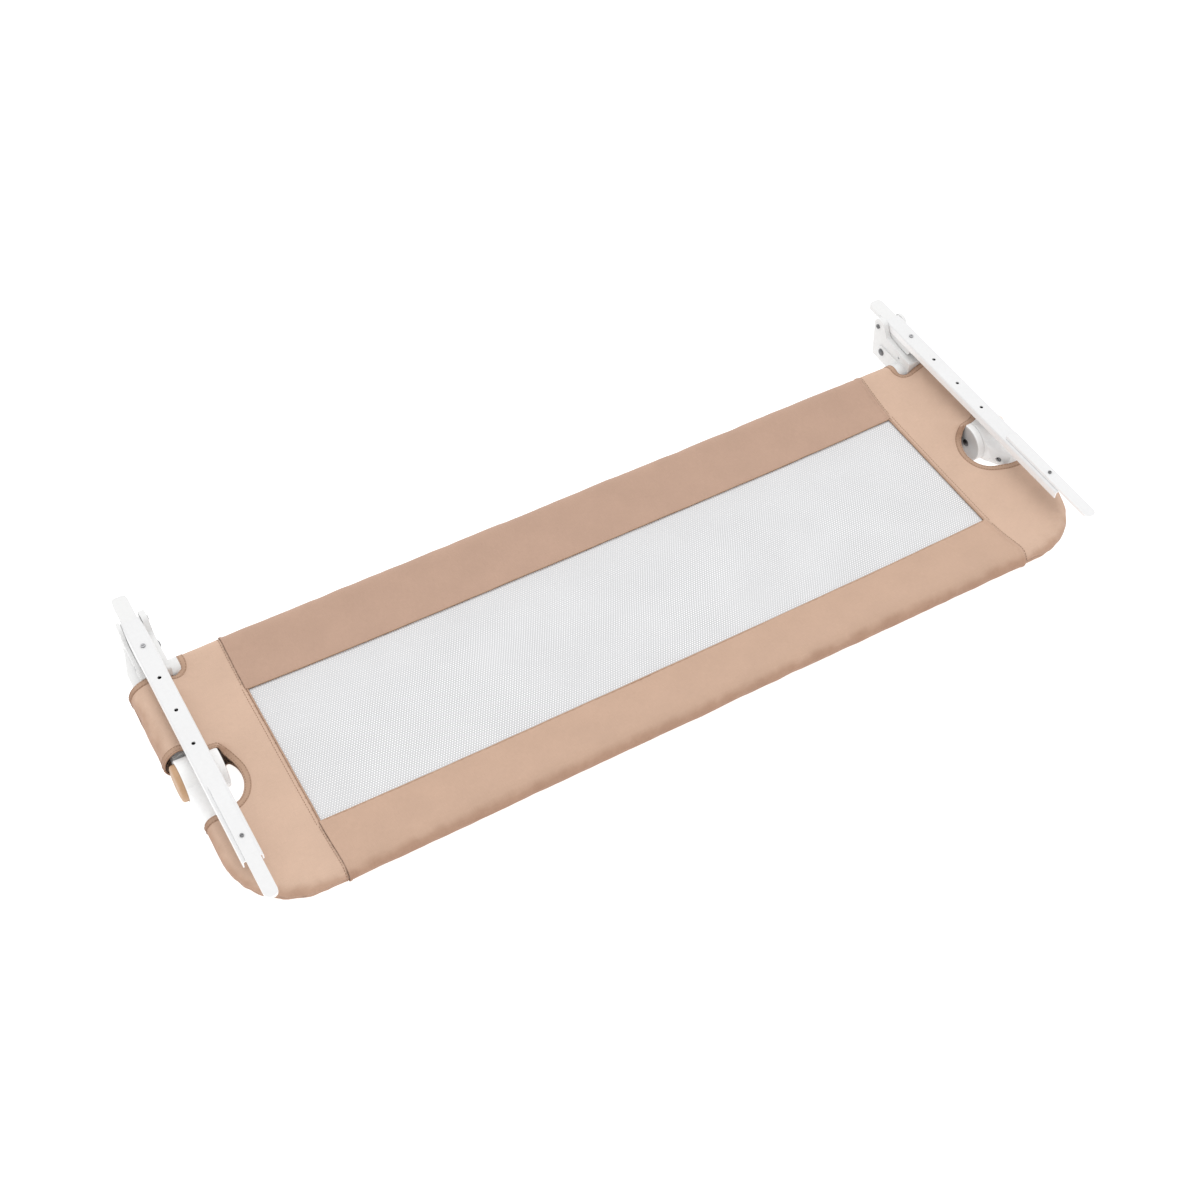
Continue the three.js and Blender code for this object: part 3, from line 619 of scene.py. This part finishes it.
def creases(flat, place, side, layer):
    """How far the end panel's cloth stands off its taut shape, in millimetres along its normal."""
    seed = 11.0 * side + 5.0 * layer
    x, y = flat[:, 0], flat[:, 1]
    signed = place * np.array([side, 1, 1])
    out = 0.75 * wobble(signed, 46, seed) + 0.35 * wobble(signed, 17, seed + 2)
    calm = 1 - 0.85 * np.exp(-np.abs(x - WIN_X) / 6)
    out *= calm
    # gathers along the seam to the bands and the window
    along = np.sin(y / 1.55 + 2.4 * wobble(signed, 30, seed + 4))
    out += 0.22 * along * np.exp(-((x - WIN_X - 3) / 5.5) ** 2)
    # gathers round the bend, where one flat sheet follows the corner
    ang = np.degrees(np.arctan2(y - BY, x - BX))
    rad = np.hypot(x - BX, y - BY)
    on_bend = smoothstep(-100, -80, ang) * (1 - smoothstep(-18, 4, ang)) * (x > BX - 14)
    pucker = np.sin(np.radians(ang) * 23 + 3.0 * wobble(signed, 34, seed + 6))
    out += 0.75 * pucker * on_bend * np.exp(-((rad - BR - 6) / 15) ** 2)
    # slack cloth beside the cut-out, where the sleeve opens
    out += 1.4 * np.exp(-(((x - 546) / 15) ** 2 + ((y - 66) / 12) ** 2)) * (0.7 + 0.5 * np.sin((x + y) / 6.5))
    out += 1.0 * np.exp(-(((x - 560) / 20) ** 2 + ((y - 132) / 16) ** 2)) * np.sin((x - y) / 8.0)
    # the loose lower sleeve hangs in shallow folds
    loose = smoothstep(558, 580, x) * (y > 50) * (y < 160)
    out += 1.1 * loose * wobble(signed, 24, seed + 8, (1, 0.55, 1))
    # the seam lines sit in a groove
    away = np.abs(x - WIN_X)
    seam = (y < WIN_N) | (y > WIN_F)
    out -= np.where(seam, 0.2 * np.exp(-((away / 1.3) ** 2)), 0)
    return out


LOOP = outline()
FLAT, TRIS = triangulated(LOOP, 3.6)


def normals_of(points, tris):
    t = np.asarray(tris)
    a, b, c = points[t[:, 0]], points[t[:, 1]], points[t[:, 2]]
    f = np.cross(b - a, c - a)
    n = np.zeros_like(points)
    for k in range(3):
        np.add.at(n, t[:, k], f)
    return n / np.maximum(np.linalg.norm(n, axis=1), 1e-12)[:, None]


def half(side, layer, flat=None):
    """Points of one layer of an end panel. layer 1 is the upper one and -1 the lower one; side is -1 on the left."""
    flat = FLAT if flat is None else flat
    place = lay(flat)
    place[:, 2] *= layer
    place[:, 0] *= side
    return place


def end_panel(side):
    name = "left" if side < 0 else "right"
    top, low = half(side, 1), half(side, -1)
    joined = np.abs(lay(FLAT)[:, 2]) < 1e-6
    index = np.zeros(len(FLAT), int)
    index[joined] = np.nonzero(joined)[0]
    index[~joined] = len(FLAT) + np.arange((~joined).sum())
    points = np.vstack([top, low[~joined]])
    tris = [t if side > 0 else t[::-1] for t in TRIS]
    lower = [tuple(int(index[i]) for i in t[::-1]) for t in tris]
    faces = [tuple(int(i) for i in t) for t in tris] + lower
    n = normals_of(points, faces)
    flats = np.vstack([FLAT, FLAT[~joined]])
    layer = np.r_[np.ones(len(FLAT)), -np.ones((~joined).sum())]
    place = points * np.array([side, 1, 1])
    push = np.where(layer > 0, creases(flats, place, side, 1), creases(flats, place, side, -1))
    push[: len(FLAT)][joined] = 0.5 * (creases(FLAT, lay(FLAT), side, 1) + creases(FLAT, lay(FLAT), side, -1))[joined]
    points = points + n * push[:, None]
    points[:, 2] = np.maximum(points[:, 2], -26.3)
    shown = flats.copy()
    shown[len(FLAT):, 0] += 300
    ob = make(f"cover_end_panel_{name}", points, faces, M["end"], flat=shown[:, ::-1] * [1, side])
    solidify(ob, 0.8)
    return ob, (points, faces, n)


def across(ob):
    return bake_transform(ob)


def strip_on(name, line, side, layer, width, lift, wrap, material, inset=0.0):
    """A tape on the end panel's cloth along a line of its flat cut: flat on the cloth over its width, turned over the edge by wrap."""
    line = fine(line, 2.2)
    tangent = np.gradient(line, axis=0)
    tangent /= np.maximum(np.linalg.norm(tangent, axis=1), 1e-9)[:, None]
    inner = np.stack([tangent[:, 1], -tangent[:, 0]], 1)  # the cloth lies on the right of the line as walked
    mid = line[len(line) // 2] + inner[len(line) // 2] * 3
    if not inside(mid[None], LOOP)[0]:
        inner = -inner
    across_at = np.array([width, width - 0.35, width * 0.66, width * 0.33, 1.2, 0.35, 0.0])
    rise = np.array([0.0, lift * 0.85, lift, lift, lift, lift * 0.75, lift * 0.2])
    columns, flats = [], []
    for off, up in zip(across_at, rise):
        f = line + inner * (off + inset)
        e = 0.6
        p = half(side, layer, f)
        pu = half(side, layer, f + np.array([e, 0])) - p
        pv = half(side, layer, f + np.array([0, e])) - p
        n = np.cross(pu, pv) * side * layer
        n /= np.maximum(np.linalg.norm(n, axis=1), 1e-9)[:, None]
        move = creases(f, lay(f), side, layer)
        columns.append(p + n * (move + up)[:, None])
        flats.append(np.stack([np.cumsum(np.r_[0, np.linalg.norm(np.diff(line, axis=0), axis=1)]), np.full(len(f), off)], 1))
    # round the edge, and a little way back on the inside
    f = line + inner * inset
    p = half(side, layer, f)
    pu, pv = half(side, layer, f + np.array([0.6, 0])) - p, half(side, layer, f + np.array([0, 0.6])) - p
    n = np.cross(pu, pv) * side * layer
    n /= np.maximum(np.linalg.norm(n, axis=1), 1e-9)[:, None]
    out = half(side, layer, f - inner * 0.6) - p
    out /= np.maximum(np.linalg.norm(out, axis=1), 1e-9)[:, None]
    move = creases(f, lay(f), side, layer)
    for o, up in ((0.5, -0.4), (0.4, -1.3), (-0.6, -1.6), (-wrap, -1.7)):
        columns.append(p + out * o + n * (move + up)[:, None])
        flats.append(np.stack([np.cumsum(np.r_[0, np.linalg.norm(np.diff(line, axis=0), axis=1)]), np.full(len(f), -1.0 + o)], 1))
    m = len(columns)
    points = np.stack(columns, 1).reshape(-1, 3)
    flat = np.stack(flats, 1).reshape(-1, 2)
    faces = grid_faces(len(line), m)
    a = points[faces[m * 3][0]], points[faces[m * 3][1]], points[faces[m * 3][2]]
    facing = np.cross(a[1] - a[0], a[2] - a[0])[2] * layer
    if facing < 0:
        faces = [q[::-1] for q in faces]
    ob = make(name, points, faces, material, flat=flat)
    solidify(ob, 0.5)
    return ob


def stitches(name, lines, material, length=2.9, gap=0.9, radius=0.36):
    """Sewn thread: a short sunk loop for each stitch along lines of (points, normals) in millimetres."""
    points, faces = [], []
    for line, normal in lines:
        s = np.r_[0, np.cumsum(np.linalg.norm(np.diff(line, axis=0), axis=1))]
        at = np.arange(1.0, s[-1] - length, length + gap)
        for t in at:
            u = t + length * np.array([0, 0.12, 0.5, 0.88, 1.0])
            c = np.stack([np.interp(u, s, line[:, k]) for k in range(3)], 1)
            n = np.stack([np.interp(u, s, normal[:, k]) for k in range(3)], 1)
            n /= np.maximum(np.linalg.norm(n, axis=1), 1e-9)[:, None]
            d = c[-1] - c[0]
            d /= max(np.linalg.norm(d), 1e-9)
            b = np.cross(d, n)
            c = c + n * (radius * np.array([-0.9, 0.35, 0.6, 0.35, -0.9]))[:, None]
            r = radius * np.array([0.35, 0.9, 1.0, 0.9, 0.35])
            base = len(points)
            for k in range(5):
                for j in range(6):
                    a = j * math.pi / 3
                    points.append(c[k] + r[k] * (math.cos(a) * b[k] + math.sin(a) * n[k]))
            for k in range(4):
                for j in range(6):
                    p, q = base + k * 6 + j, base + k * 6 + (j + 1) % 6
                    faces.append((p, q, q + 6, p + 6))
            faces.append(tuple(base + j for j in range(5, -1, -1)))
            faces.append(tuple(base + 24 + j for j in range(6)))
    return make(name, np.array(points), faces, material)


def on_panel(line, side, layer, up):
    """A line of the flat cut, laid on the end panel's surface: points and normals."""
    line = fine(line, 1.5)
    p = half(side, layer, line)
    pu, pv = half(side, layer, line + np.array([0.6, 0])) - p, half(side, layer, line + np.array([0, 0.6])) - p
    n = np.cross(pu, pv) * side * layer
    n /= np.maximum(np.linalg.norm(n, axis=1), 1e-9)[:, None]
    return p + n * (creases(line, lay(line), side, layer) + up)[:, None], n


def offset_line(line, off):
    line = fine(line, 2.0)
    tangent = np.gradient(line, axis=0)
    tangent /= np.maximum(np.linalg.norm(tangent, axis=1), 1e-9)[:, None]
    inner = np.stack([tangent[:, 1], -tangent[:, 0]], 1)
    mid = line[len(line) // 2] + inner[len(line) // 2] * 3
    if not inside(mid[None], LOOP)[0]:
        inner = -inner
    return line + inner * off


def tube_along(name, line, radius, material, sides=8, flat_seed=0.0):
    """A round welt along a line of points."""
    line = np.asarray(line, float)
    d = np.gradient(line, axis=0)
    d /= np.maximum(np.linalg.norm(d, axis=1), 1e-9)[:, None]
    up = np.array([0, 0, 1.0])
    b = np.cross(d, up)
    b /= np.maximum(np.linalg.norm(b, axis=1), 1e-9)[:, None]
    n = np.cross(b, d)
    s = np.r_[0, np.cumsum(np.linalg.norm(np.diff(line, axis=0), axis=1))]
    points, flat = [], []
    for k in range(len(line)):
        for j in range(sides):
            a = 2 * math.pi * j / sides
            points.append(line[k] + radius * (math.cos(a) * b[k] + math.sin(a) * n[k]))
            flat.append((s[k] + flat_seed, a * radius))
    faces = []
    for k in range(len(line) - 1):
        for j in range(sides):
            p, q = k * sides + j, k * sides + (j + 1) % sides
            faces.append((p, q, q + sides, p + sides))
    faces.append(tuple(range(sides - 1, -1, -1)))
    faces.append(tuple((len(line) - 1) * sides + j for j in range(sides)))
    ob = make(name, np.array(points), faces, material, flat=np.array(flat))
    return ob


# ---------------------------------------------------------------- cover: pieces

def build_end(side):
    name = "left" if side < 0 else "right"
    panel, _ = end_panel(side)
    extras = []
    for layer, word in ((1, "upper"), (-1, "lower")):
        extras.append(strip_on(f"cutout_tape_{word}_{name}", cut_line(), side, layer, 8.0, 0.55, 3.0, M["hem"]))
        extras.append(strip_on(f"notch_tape_{word}_{name}", notch_line(), side, layer, 8.0, 0.55, 3.0, M["hem"]))
    lines = []
    for layer in (1, -1):
        lines.append(on_panel(offset_line(cut_line(), 7.0), side, layer, 0.45))
        lines.append(on_panel(offset_line(cut_line(), 1.6), side, layer, 0.45))
        lines.append(on_panel(offset_line(notch_line(), 7.0), side, layer, 0.45))
        lines.append(on_panel(offset_line(notch_line(), 1.6), side, layer, 0.45))
        lines.append(on_panel(np.array([[WIN_X + 5.5, WIN_N - 4], [WIN_X + 5.5, WIN_F + 4]]), side, layer, 0.0))
        lines.append(on_panel(np.array([[WIN_X + 4.5, AX_N - W_U + 2], [WIN_X + 4.5, WIN_N - 6]]), side, layer, 0.0))
        lines.append(on_panel(np.array([[WIN_X + 4.5, WIN_F + 6], [WIN_X + 4.5, AX_F + W_U - 2]]), side, layer, 0.0))
    extras.append(stitches(f"end_stitches_{name}", lines, M["thread"]))
    for layer, word in ((1, "upper"), (-1, "lower")):
        y = np.linspace(WIN_N - 1.0, WIN_F + 1.0, 90)
        welt = np.stack([np.full_like(y, side * (WIN_X - 0.2)), y, np.full_like(y, layer * 1.55)], 1)
        welt[:, 0] += 0.35 * wobble(welt, 28, 3 + side)
        extras.append(tube_along(f"window_welt_{word}_{name}", welt, 1.15, M["hem"]))
    for ob in extras:
        across(ob)
    across(panel)
    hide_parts(f"cover_end_lower_{name}", f"cover_end_upper_{name}")
    return panel


for side in (-1, 1):
    build_end(side)


def band(name, near):
    """One long band: from the window's edge over the tube and back to the window's edge on the underside."""
    ends = WIN_X + np.array([1.6, 0.3, -1.0, -2.4])        # the last of it lies under the end panel's edge
    xs = np.r_[-ends, np.linspace(-WIN_X + 5, WIN_X - 5, 266), ends[::-1]]
    edge = near_edge(xs) if near else far_edge(xs)
    axis = AX_N if near else AX_F
    sign = -1.0 if near else 1.0
    reach0 = abs(axis - (WIN_N if near else WIN_F))
    n_flat, n_arc = 20, 9
    rows, arcs = [], []
    e_t = reach0 - R_U * math.sin(math.asin(R_U / math.hypot(reach0, EDGE_Z)) + math.atan2(-EDGE_Z, reach0))
    fractions = np.r_[0, 0.012, 0.03, np.linspace(0.065, 1, n_flat - 3)]
    top = []
    for i, x in enumerate(xs):
        reach = abs(axis - edge[i])
        e = fractions * e_t * (reach / reach0)
        z = taut(e * reach0 / reach, reach0, R_U)
        y = edge[i] + sign * e
        last = math.atan2(z[-1], reach - e[-1])
        a = np.linspace(math.pi - last if False else last, 0, n_arc + 1)[1:]
        ya, za = axis + sign * (-R_U * np.cos(a) if False else 0), R_U * np.sin(a)
        th = np.linspace(math.pi - math.atan2(z[-1], reach - e[-1]), 0, n_arc + 1)[1:]
        ya, za = axis + sign * R_U * np.cos(th), R_U * np.sin(th)
        top.append(np.stack([np.full(len(y) + len(ya), x), np.r_[y, ya], np.r_[z, za]], 1))
    top = np.array(top)                                    # columns, points of the profile, 3
    low = top[:, ::-1][:, 1:].copy()
    low[:, :, 2] *= -1
    shape = np.concatenate([top, low], 1)
    n, m = shape.shape[:2]
    points = shape.reshape(-1, 3)
    faces = grid_faces(n, m, flip=not near)
    s = np.concatenate([np.zeros((n, 1)), np.cumsum(np.linalg.norm(np.diff(shape, axis=1), axis=2), axis=1)], 1)
    flat = np.stack([points[:, 0], s.reshape(-1)], 1)
    tri = [(q[0], q[1], q[2]) for q in faces] + [(q[0], q[2], q[3]) for q in faces]
    nrm = normals_of(points, tri)
    seed = 31 if near else 47
    e = np.abs(points[:, 1] - (WIN_N if near else WIN_F))
    calm = 1 - 0.9 * np.exp(-e / 5)
    push = calm * (0.8 * wobble(points, 70, seed, (0.6, 1, 1)) + 0.45 * wobble(points, 26, seed + 1, (0.8, 1, 1)))
    outer = smoothstep(40, 70, e)
    push += 0.55 * outer * wobble(points, 19, seed + 2)
    gather = np.sin(points[:, 0] / 1.7 + 3 * wobble(points, 40, seed + 3))
    push += 0.2 * gather * np.exp(-((e - 3) / 5.0) ** 2)
    to_end = WIN_X - np.abs(points[:, 0])
    push += 0.5 * np.sin(points[:, 1] / 2.1 + 2 * wobble(points, 20, seed + 4)) * np.exp(-((to_end - 3) / 7) ** 2) * calm
    push -= 1.05 * (1 - smoothstep(0.2, 2.6, to_end))
    points = points + nrm * push[:, None]
    ob = make(name, points, faces, M["near" if near else "far"], flat=flat)
    solidify(ob, 0.8)
    extras = []
    lines = []
    for layer in (1, -1):
        k = 6
        col = k if layer > 0 else m - 1 - k
        grid = points.reshape(n, m, 3)
        gn = nrm.reshape(n, m, 3)
        a = grid[:, 3 if layer > 0 else m - 4] * 0.55 + grid[:, 4 if layer > 0 else m - 5] * 0.45
        lines.append((a, gn[:, col]))
    extras.append(stitches(f"{name}_stitches", lines, M["thread"], length=3.1, gap=1.2))
    for layer, word in ((1, "upper"), (-1, "lower")):
        xx = np.linspace(-WIN_X, WIN_X, 320)
        yy = near_edge(xx) if near else far_edge(xx)
        welt = np.stack([xx, yy, np.full_like(xx, layer * 1.55)], 1)
        welt[:, 1] += 0.35 * wobble(welt, 28, 8 + seed)
        extras.append(tube_along(f"{name}_welt_{word}", welt, 1.15, M["hem"]))
    body = "upper_frame" if near else "lower_frame"
    for o in (ob, *extras):
        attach(o, body)
    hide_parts("cover_band_upper" if near else "cover_band_lower")


band("cover_band_near", True)
band("cover_band_far", False)


def net():
    """Knitted net: hexagonal holes between flat threads."""
    dx, dy, thread = 3.4, 2.944, 2.35
    size = dx / math.sqrt(3)
    hole = (dx - thread) / math.sqrt(3)
    nx, ny = int(2 * (WIN_X + 4) / dx), int((WIN_F - WIN_N + 12) / dy)
    x0, y0 = -(nx - 1) * dx / 2, (WIN_F + WIN_N) / 2 - 2 - (ny - 1) * dy / 2
    angles = np.radians(30 + 60 * np.arange(6))            # corners of a hexagon with a point upwards
    corner = np.stack([np.cos(angles), np.sin(angles)], 1) * hole
    i, j = np.meshgrid(np.arange(nx), np.arange(ny), indexing="ij")
    cx = x0 + (i + 0.5 * (j % 2)) * dx
    cy = y0 + j * dy
    pts = np.stack([cx, cy], 2)[:, :, None, :] + corner[None, None]
    pts = pts.reshape(-1, 2)

    def at(a, b, k):
        return (a * ny + b) * 6 + k

    faces = []
    for a in range(nx):
        for b in range(ny):
            odd = b % 2
            if a + 1 < nx:                                 # the thread towards +x
                faces.append((at(a, b, 5), at(a + 1, b, 3), at(a + 1, b, 2), at(a, b, 0)))
            if b + 1 < ny:
                r, l = a + odd, a - 1 + odd                # the two cells above
                if r < nx:
                    faces.append((at(a, b, 0), at(r, b + 1, 4), at(r, b + 1, 3), at(a, b, 1)))
                if l >= 0:
                    faces.append((at(a, b, 1), at(l, b + 1, 5), at(l, b + 1, 4), at(a, b, 2)))
                if r < nx and l >= 0:
                    faces.append((at(a, b, 1), at(r, b + 1, 3), at(l, b + 1, 5)))
                if r < nx and a + 1 < nx:
                    faces.append((at(a, b, 0), at(a + 1, b, 2), at(r, b + 1, 4)))
    flat = pts.copy()
    slow = np.stack([pts[:, 0], pts[:, 1], np.zeros(len(pts))], 1)
    wx, wy = wobble(slow, 55, 71), wobble(slow, 48, 83, (0.7, 1, 1))
    x = pts[:, 0] + 0.7 * wx
    y = pts[:, 1] + 1.1 * wy
    # the window's long edges bow a little, and the net's rows with them
    t = np.clip((y - WIN_N) / (WIN_F - WIN_N), -0.05, 1.05)
    y = y + (near_edge(x) - WIN_N) * (1 - t) + (far_edge(x) - WIN_F) * t
    z = 0.55 * wobble(slow, 60, 97)
    keep = np.minimum(np.minimum(WIN_X - np.abs(x), y - near_edge(x)), far_edge(x) - y)
    z *= smoothstep(-4, 10, keep)
    ob = make("net_panel", np.stack([x, y, z], 1), faces, M["net"], smooth=True, flat=flat)
    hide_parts("mesh_panel_lower", "mesh_panel_upper")
    t = np.array([f[:3] for f in faces] + [(f[0], f[2], f[3]) for f in faces if len(f) == 4])
    w, l = round((flat[:, 1].max() - flat[:, 1].min()) * 0.001, 3), round((flat[:, 0].max() - flat[:, 0].min()) * 0.001, 3)
    across(ob)


net()


# ---------------------------------------------------------------- carried-over CAD nodes

def smooth_by_angle():
    """Shades smooth, with edges over 32 degrees kept sharp."""
    tree = bpy.data.node_groups.new("smooth_by_angle", "GeometryNodeTree")
    tree.interface.new_socket("Geometry", in_out="INPUT", socket_type="NodeSocketGeometry")
    tree.interface.new_socket("Geometry", in_out="OUTPUT", socket_type="NodeSocketGeometry")
    gi, go = tree.nodes.new("NodeGroupInput"), tree.nodes.new("NodeGroupOutput")
    angle = tree.nodes.new("GeometryNodeInputMeshEdgeAngle")
    less = tree.nodes.new("FunctionNodeCompare")
    less.data_type, less.operation = "FLOAT", "LESS_THAN"
    less.inputs[1].default_value = math.radians(32)
    edge, face = tree.nodes.new("GeometryNodeSetShadeSmooth"), tree.nodes.new("GeometryNodeSetShadeSmooth")
    edge.domain, face.domain = "EDGE", "FACE"
    tree.links.new(angle.outputs[0], less.inputs[0])
    tree.links.new(gi.outputs[0], edge.inputs["Geometry"])
    tree.links.new(less.outputs[0], edge.inputs["Shade Smooth"])
    tree.links.new(edge.outputs[0], face.inputs["Geometry"])
    tree.links.new(face.outputs[0], go.inputs[0])
    return tree


SMOOTH = smooth_by_angle()


def soften(ob, width, segments=2, angle=38):
    if width:
        b = ob.modifiers.new("edge_radius", "BEVEL")
        b.width, b.segments = width * 0.001, segments
        b.limit_method, b.angle_limit = "ANGLE", math.radians(angle)
        b.use_clamp_overlap = True
        b.harden_normals = False
        b.miter_outer = "MITER_ARC"
    m = ob.modifiers.new("smooth_by_angle", "NODES")
    m.node_group = SMOOTH


def dress(name, material, width=0.0, segments=2):
    ob = nodes[name]
    for s in ob.material_slots:
        s.material = material
    if not ob.material_slots:
        ob.data.materials.append(material)
    soften(ob, width, segments)


LOOKS = {
    "lower_cross_tube": ("paint", 0), "lower_post": ("paint", 0), "upper_u_tube": ("paint", 0),
    "bracket_inner_shell": ("plastic", 0.9), "bracket_outer_shell": ("plastic", 0.9),
    "bracket_screw_top": ("steel", 0.15), "bracket_screw_web": ("zinc", 0.15), "arm_pivot_bolt": ("steel", 0.2),
    "hinge_lower_half": ("disc", 0.8), "hinge_upper_half": ("hinge", 0.8), "hinge_neck_screw": ("steel", 0.15),
    "hinge_bolt": ("steel", 0.3), "hinge_nut": ("zinc", 0.2), "hinge_spring": ("zinc", 0), "hinge_lock_drum": ("zinc", 0.3),
    "hinge_button": ("tan", 0.4),
    "arm_channel": ("paint", 0.25), "arm_knuckle": ("plastic", 0.6), "arm_screw": ("mid", 0.15), "arm_release_tab": ("plastic", 0.9),
    "arm_release_spring": ("zinc", 0), "extension_strip": ("paint", 0.35), "extension_screw": ("steel", 0.15), "extension_clamp_plate": ("zinc", 0.3),
}
for node_name in sorted(nodes):
    key = node_name.rsplit("_", 1)[0] if node_name.endswith(("_left", "_right")) else node_name
    if key in LOOKS:
        dress(node_name, M[LOOKS[key][0]], LOOKS[key][1])


# ---------------------------------------------------------------- small visible details on the hard parts

def painted_shade_hole_cups(side):
    """Dark cups inside a channel, one under each open hole: painted shade, a near-black piece standing in for the
    shadow inside the holes.
    """
    name = "left" if side < 0 else "right"
    points, faces = [], []
    for y in (137.8, 84.2, 30.6):
        base = len(points)
        for r, z in ((3.3, 46.35), (2.75, 46.35), (2.6, 44.0), (3.3, 43.4)):
            for k in range(20):
                a = 2 * math.pi * k / 20
                points.append((side * 568 + r * math.cos(a), y + r * math.sin(a), z))
        points += [(side * 568, y, 43.9), (side * 568, y, 43.4)]
        for k in range(20):
            n = (k + 1) % 20
            for i, j in ((0, 1), (1, 2), (3, 0)):
                faces.append((base + i * 20 + k, base + i * 20 + n, base + j * 20 + n, base + j * 20 + k))
            faces.append((base + 40 + k, base + 40 + n, base + 80))
            faces.append((base + 60 + n, base + 60 + k, base + 81))
    ob = make(f"painted_shade_hole_cups_{name}", np.array(points), faces, M["dark"], smooth=False)
    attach(ob, f"arm_{name}")


def spring(name, node, origin, axis, radius, wire, length, turns):
    """A coil spring from origin along axis, baked in place at rest; it is not attached to either body."""
    origin, axis = np.array(origin, float), np.array(axis, float)
    u = np.array([0, 0, 1.0])
    v = np.cross(axis, u)
    points, faces, n, sides = [], [], 16 * turns, 6
    for k in range(n + 1):
        turn = 2 * math.pi * turns * k / n
        out = math.cos(turn) * u + math.sin(turn) * v
        centre = origin + axis * length * k / n + radius * out
        for j in range(sides):
            t = 2 * math.pi * j / sides
            points.append(centre + wire * (math.cos(t) * out + math.sin(t) * axis))
    for k in range(n):
        for j in range(sides):
            p, q = k * sides + j, k * sides + (j + 1) % sides
            faces.append((p, p + sides, q + sides, q))
    faces.append(tuple(range(sides)))
    faces.append(tuple(n * sides + j for j in range(sides - 1, -1, -1)))
    ob = make(name, np.array(points), faces, M["zinc"])
    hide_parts(node)
    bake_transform(ob)


for side, end_name in ((-1, "left"), (1, "right")):
    painted_shade_hole_cups(side)
    spring(f"button_coil_{end_name}", f"hinge_spring_{end_name}", (side * 568.6, 20, 0), (side, 0, 0), 10, 0.65, 7.4, 3)
    spring(f"release_coil_{end_name}", f"arm_release_spring_{end_name}", (side * 568, 201.5, 41.8), (0, 1, 0), 2.8, 0.45, 13, 4)
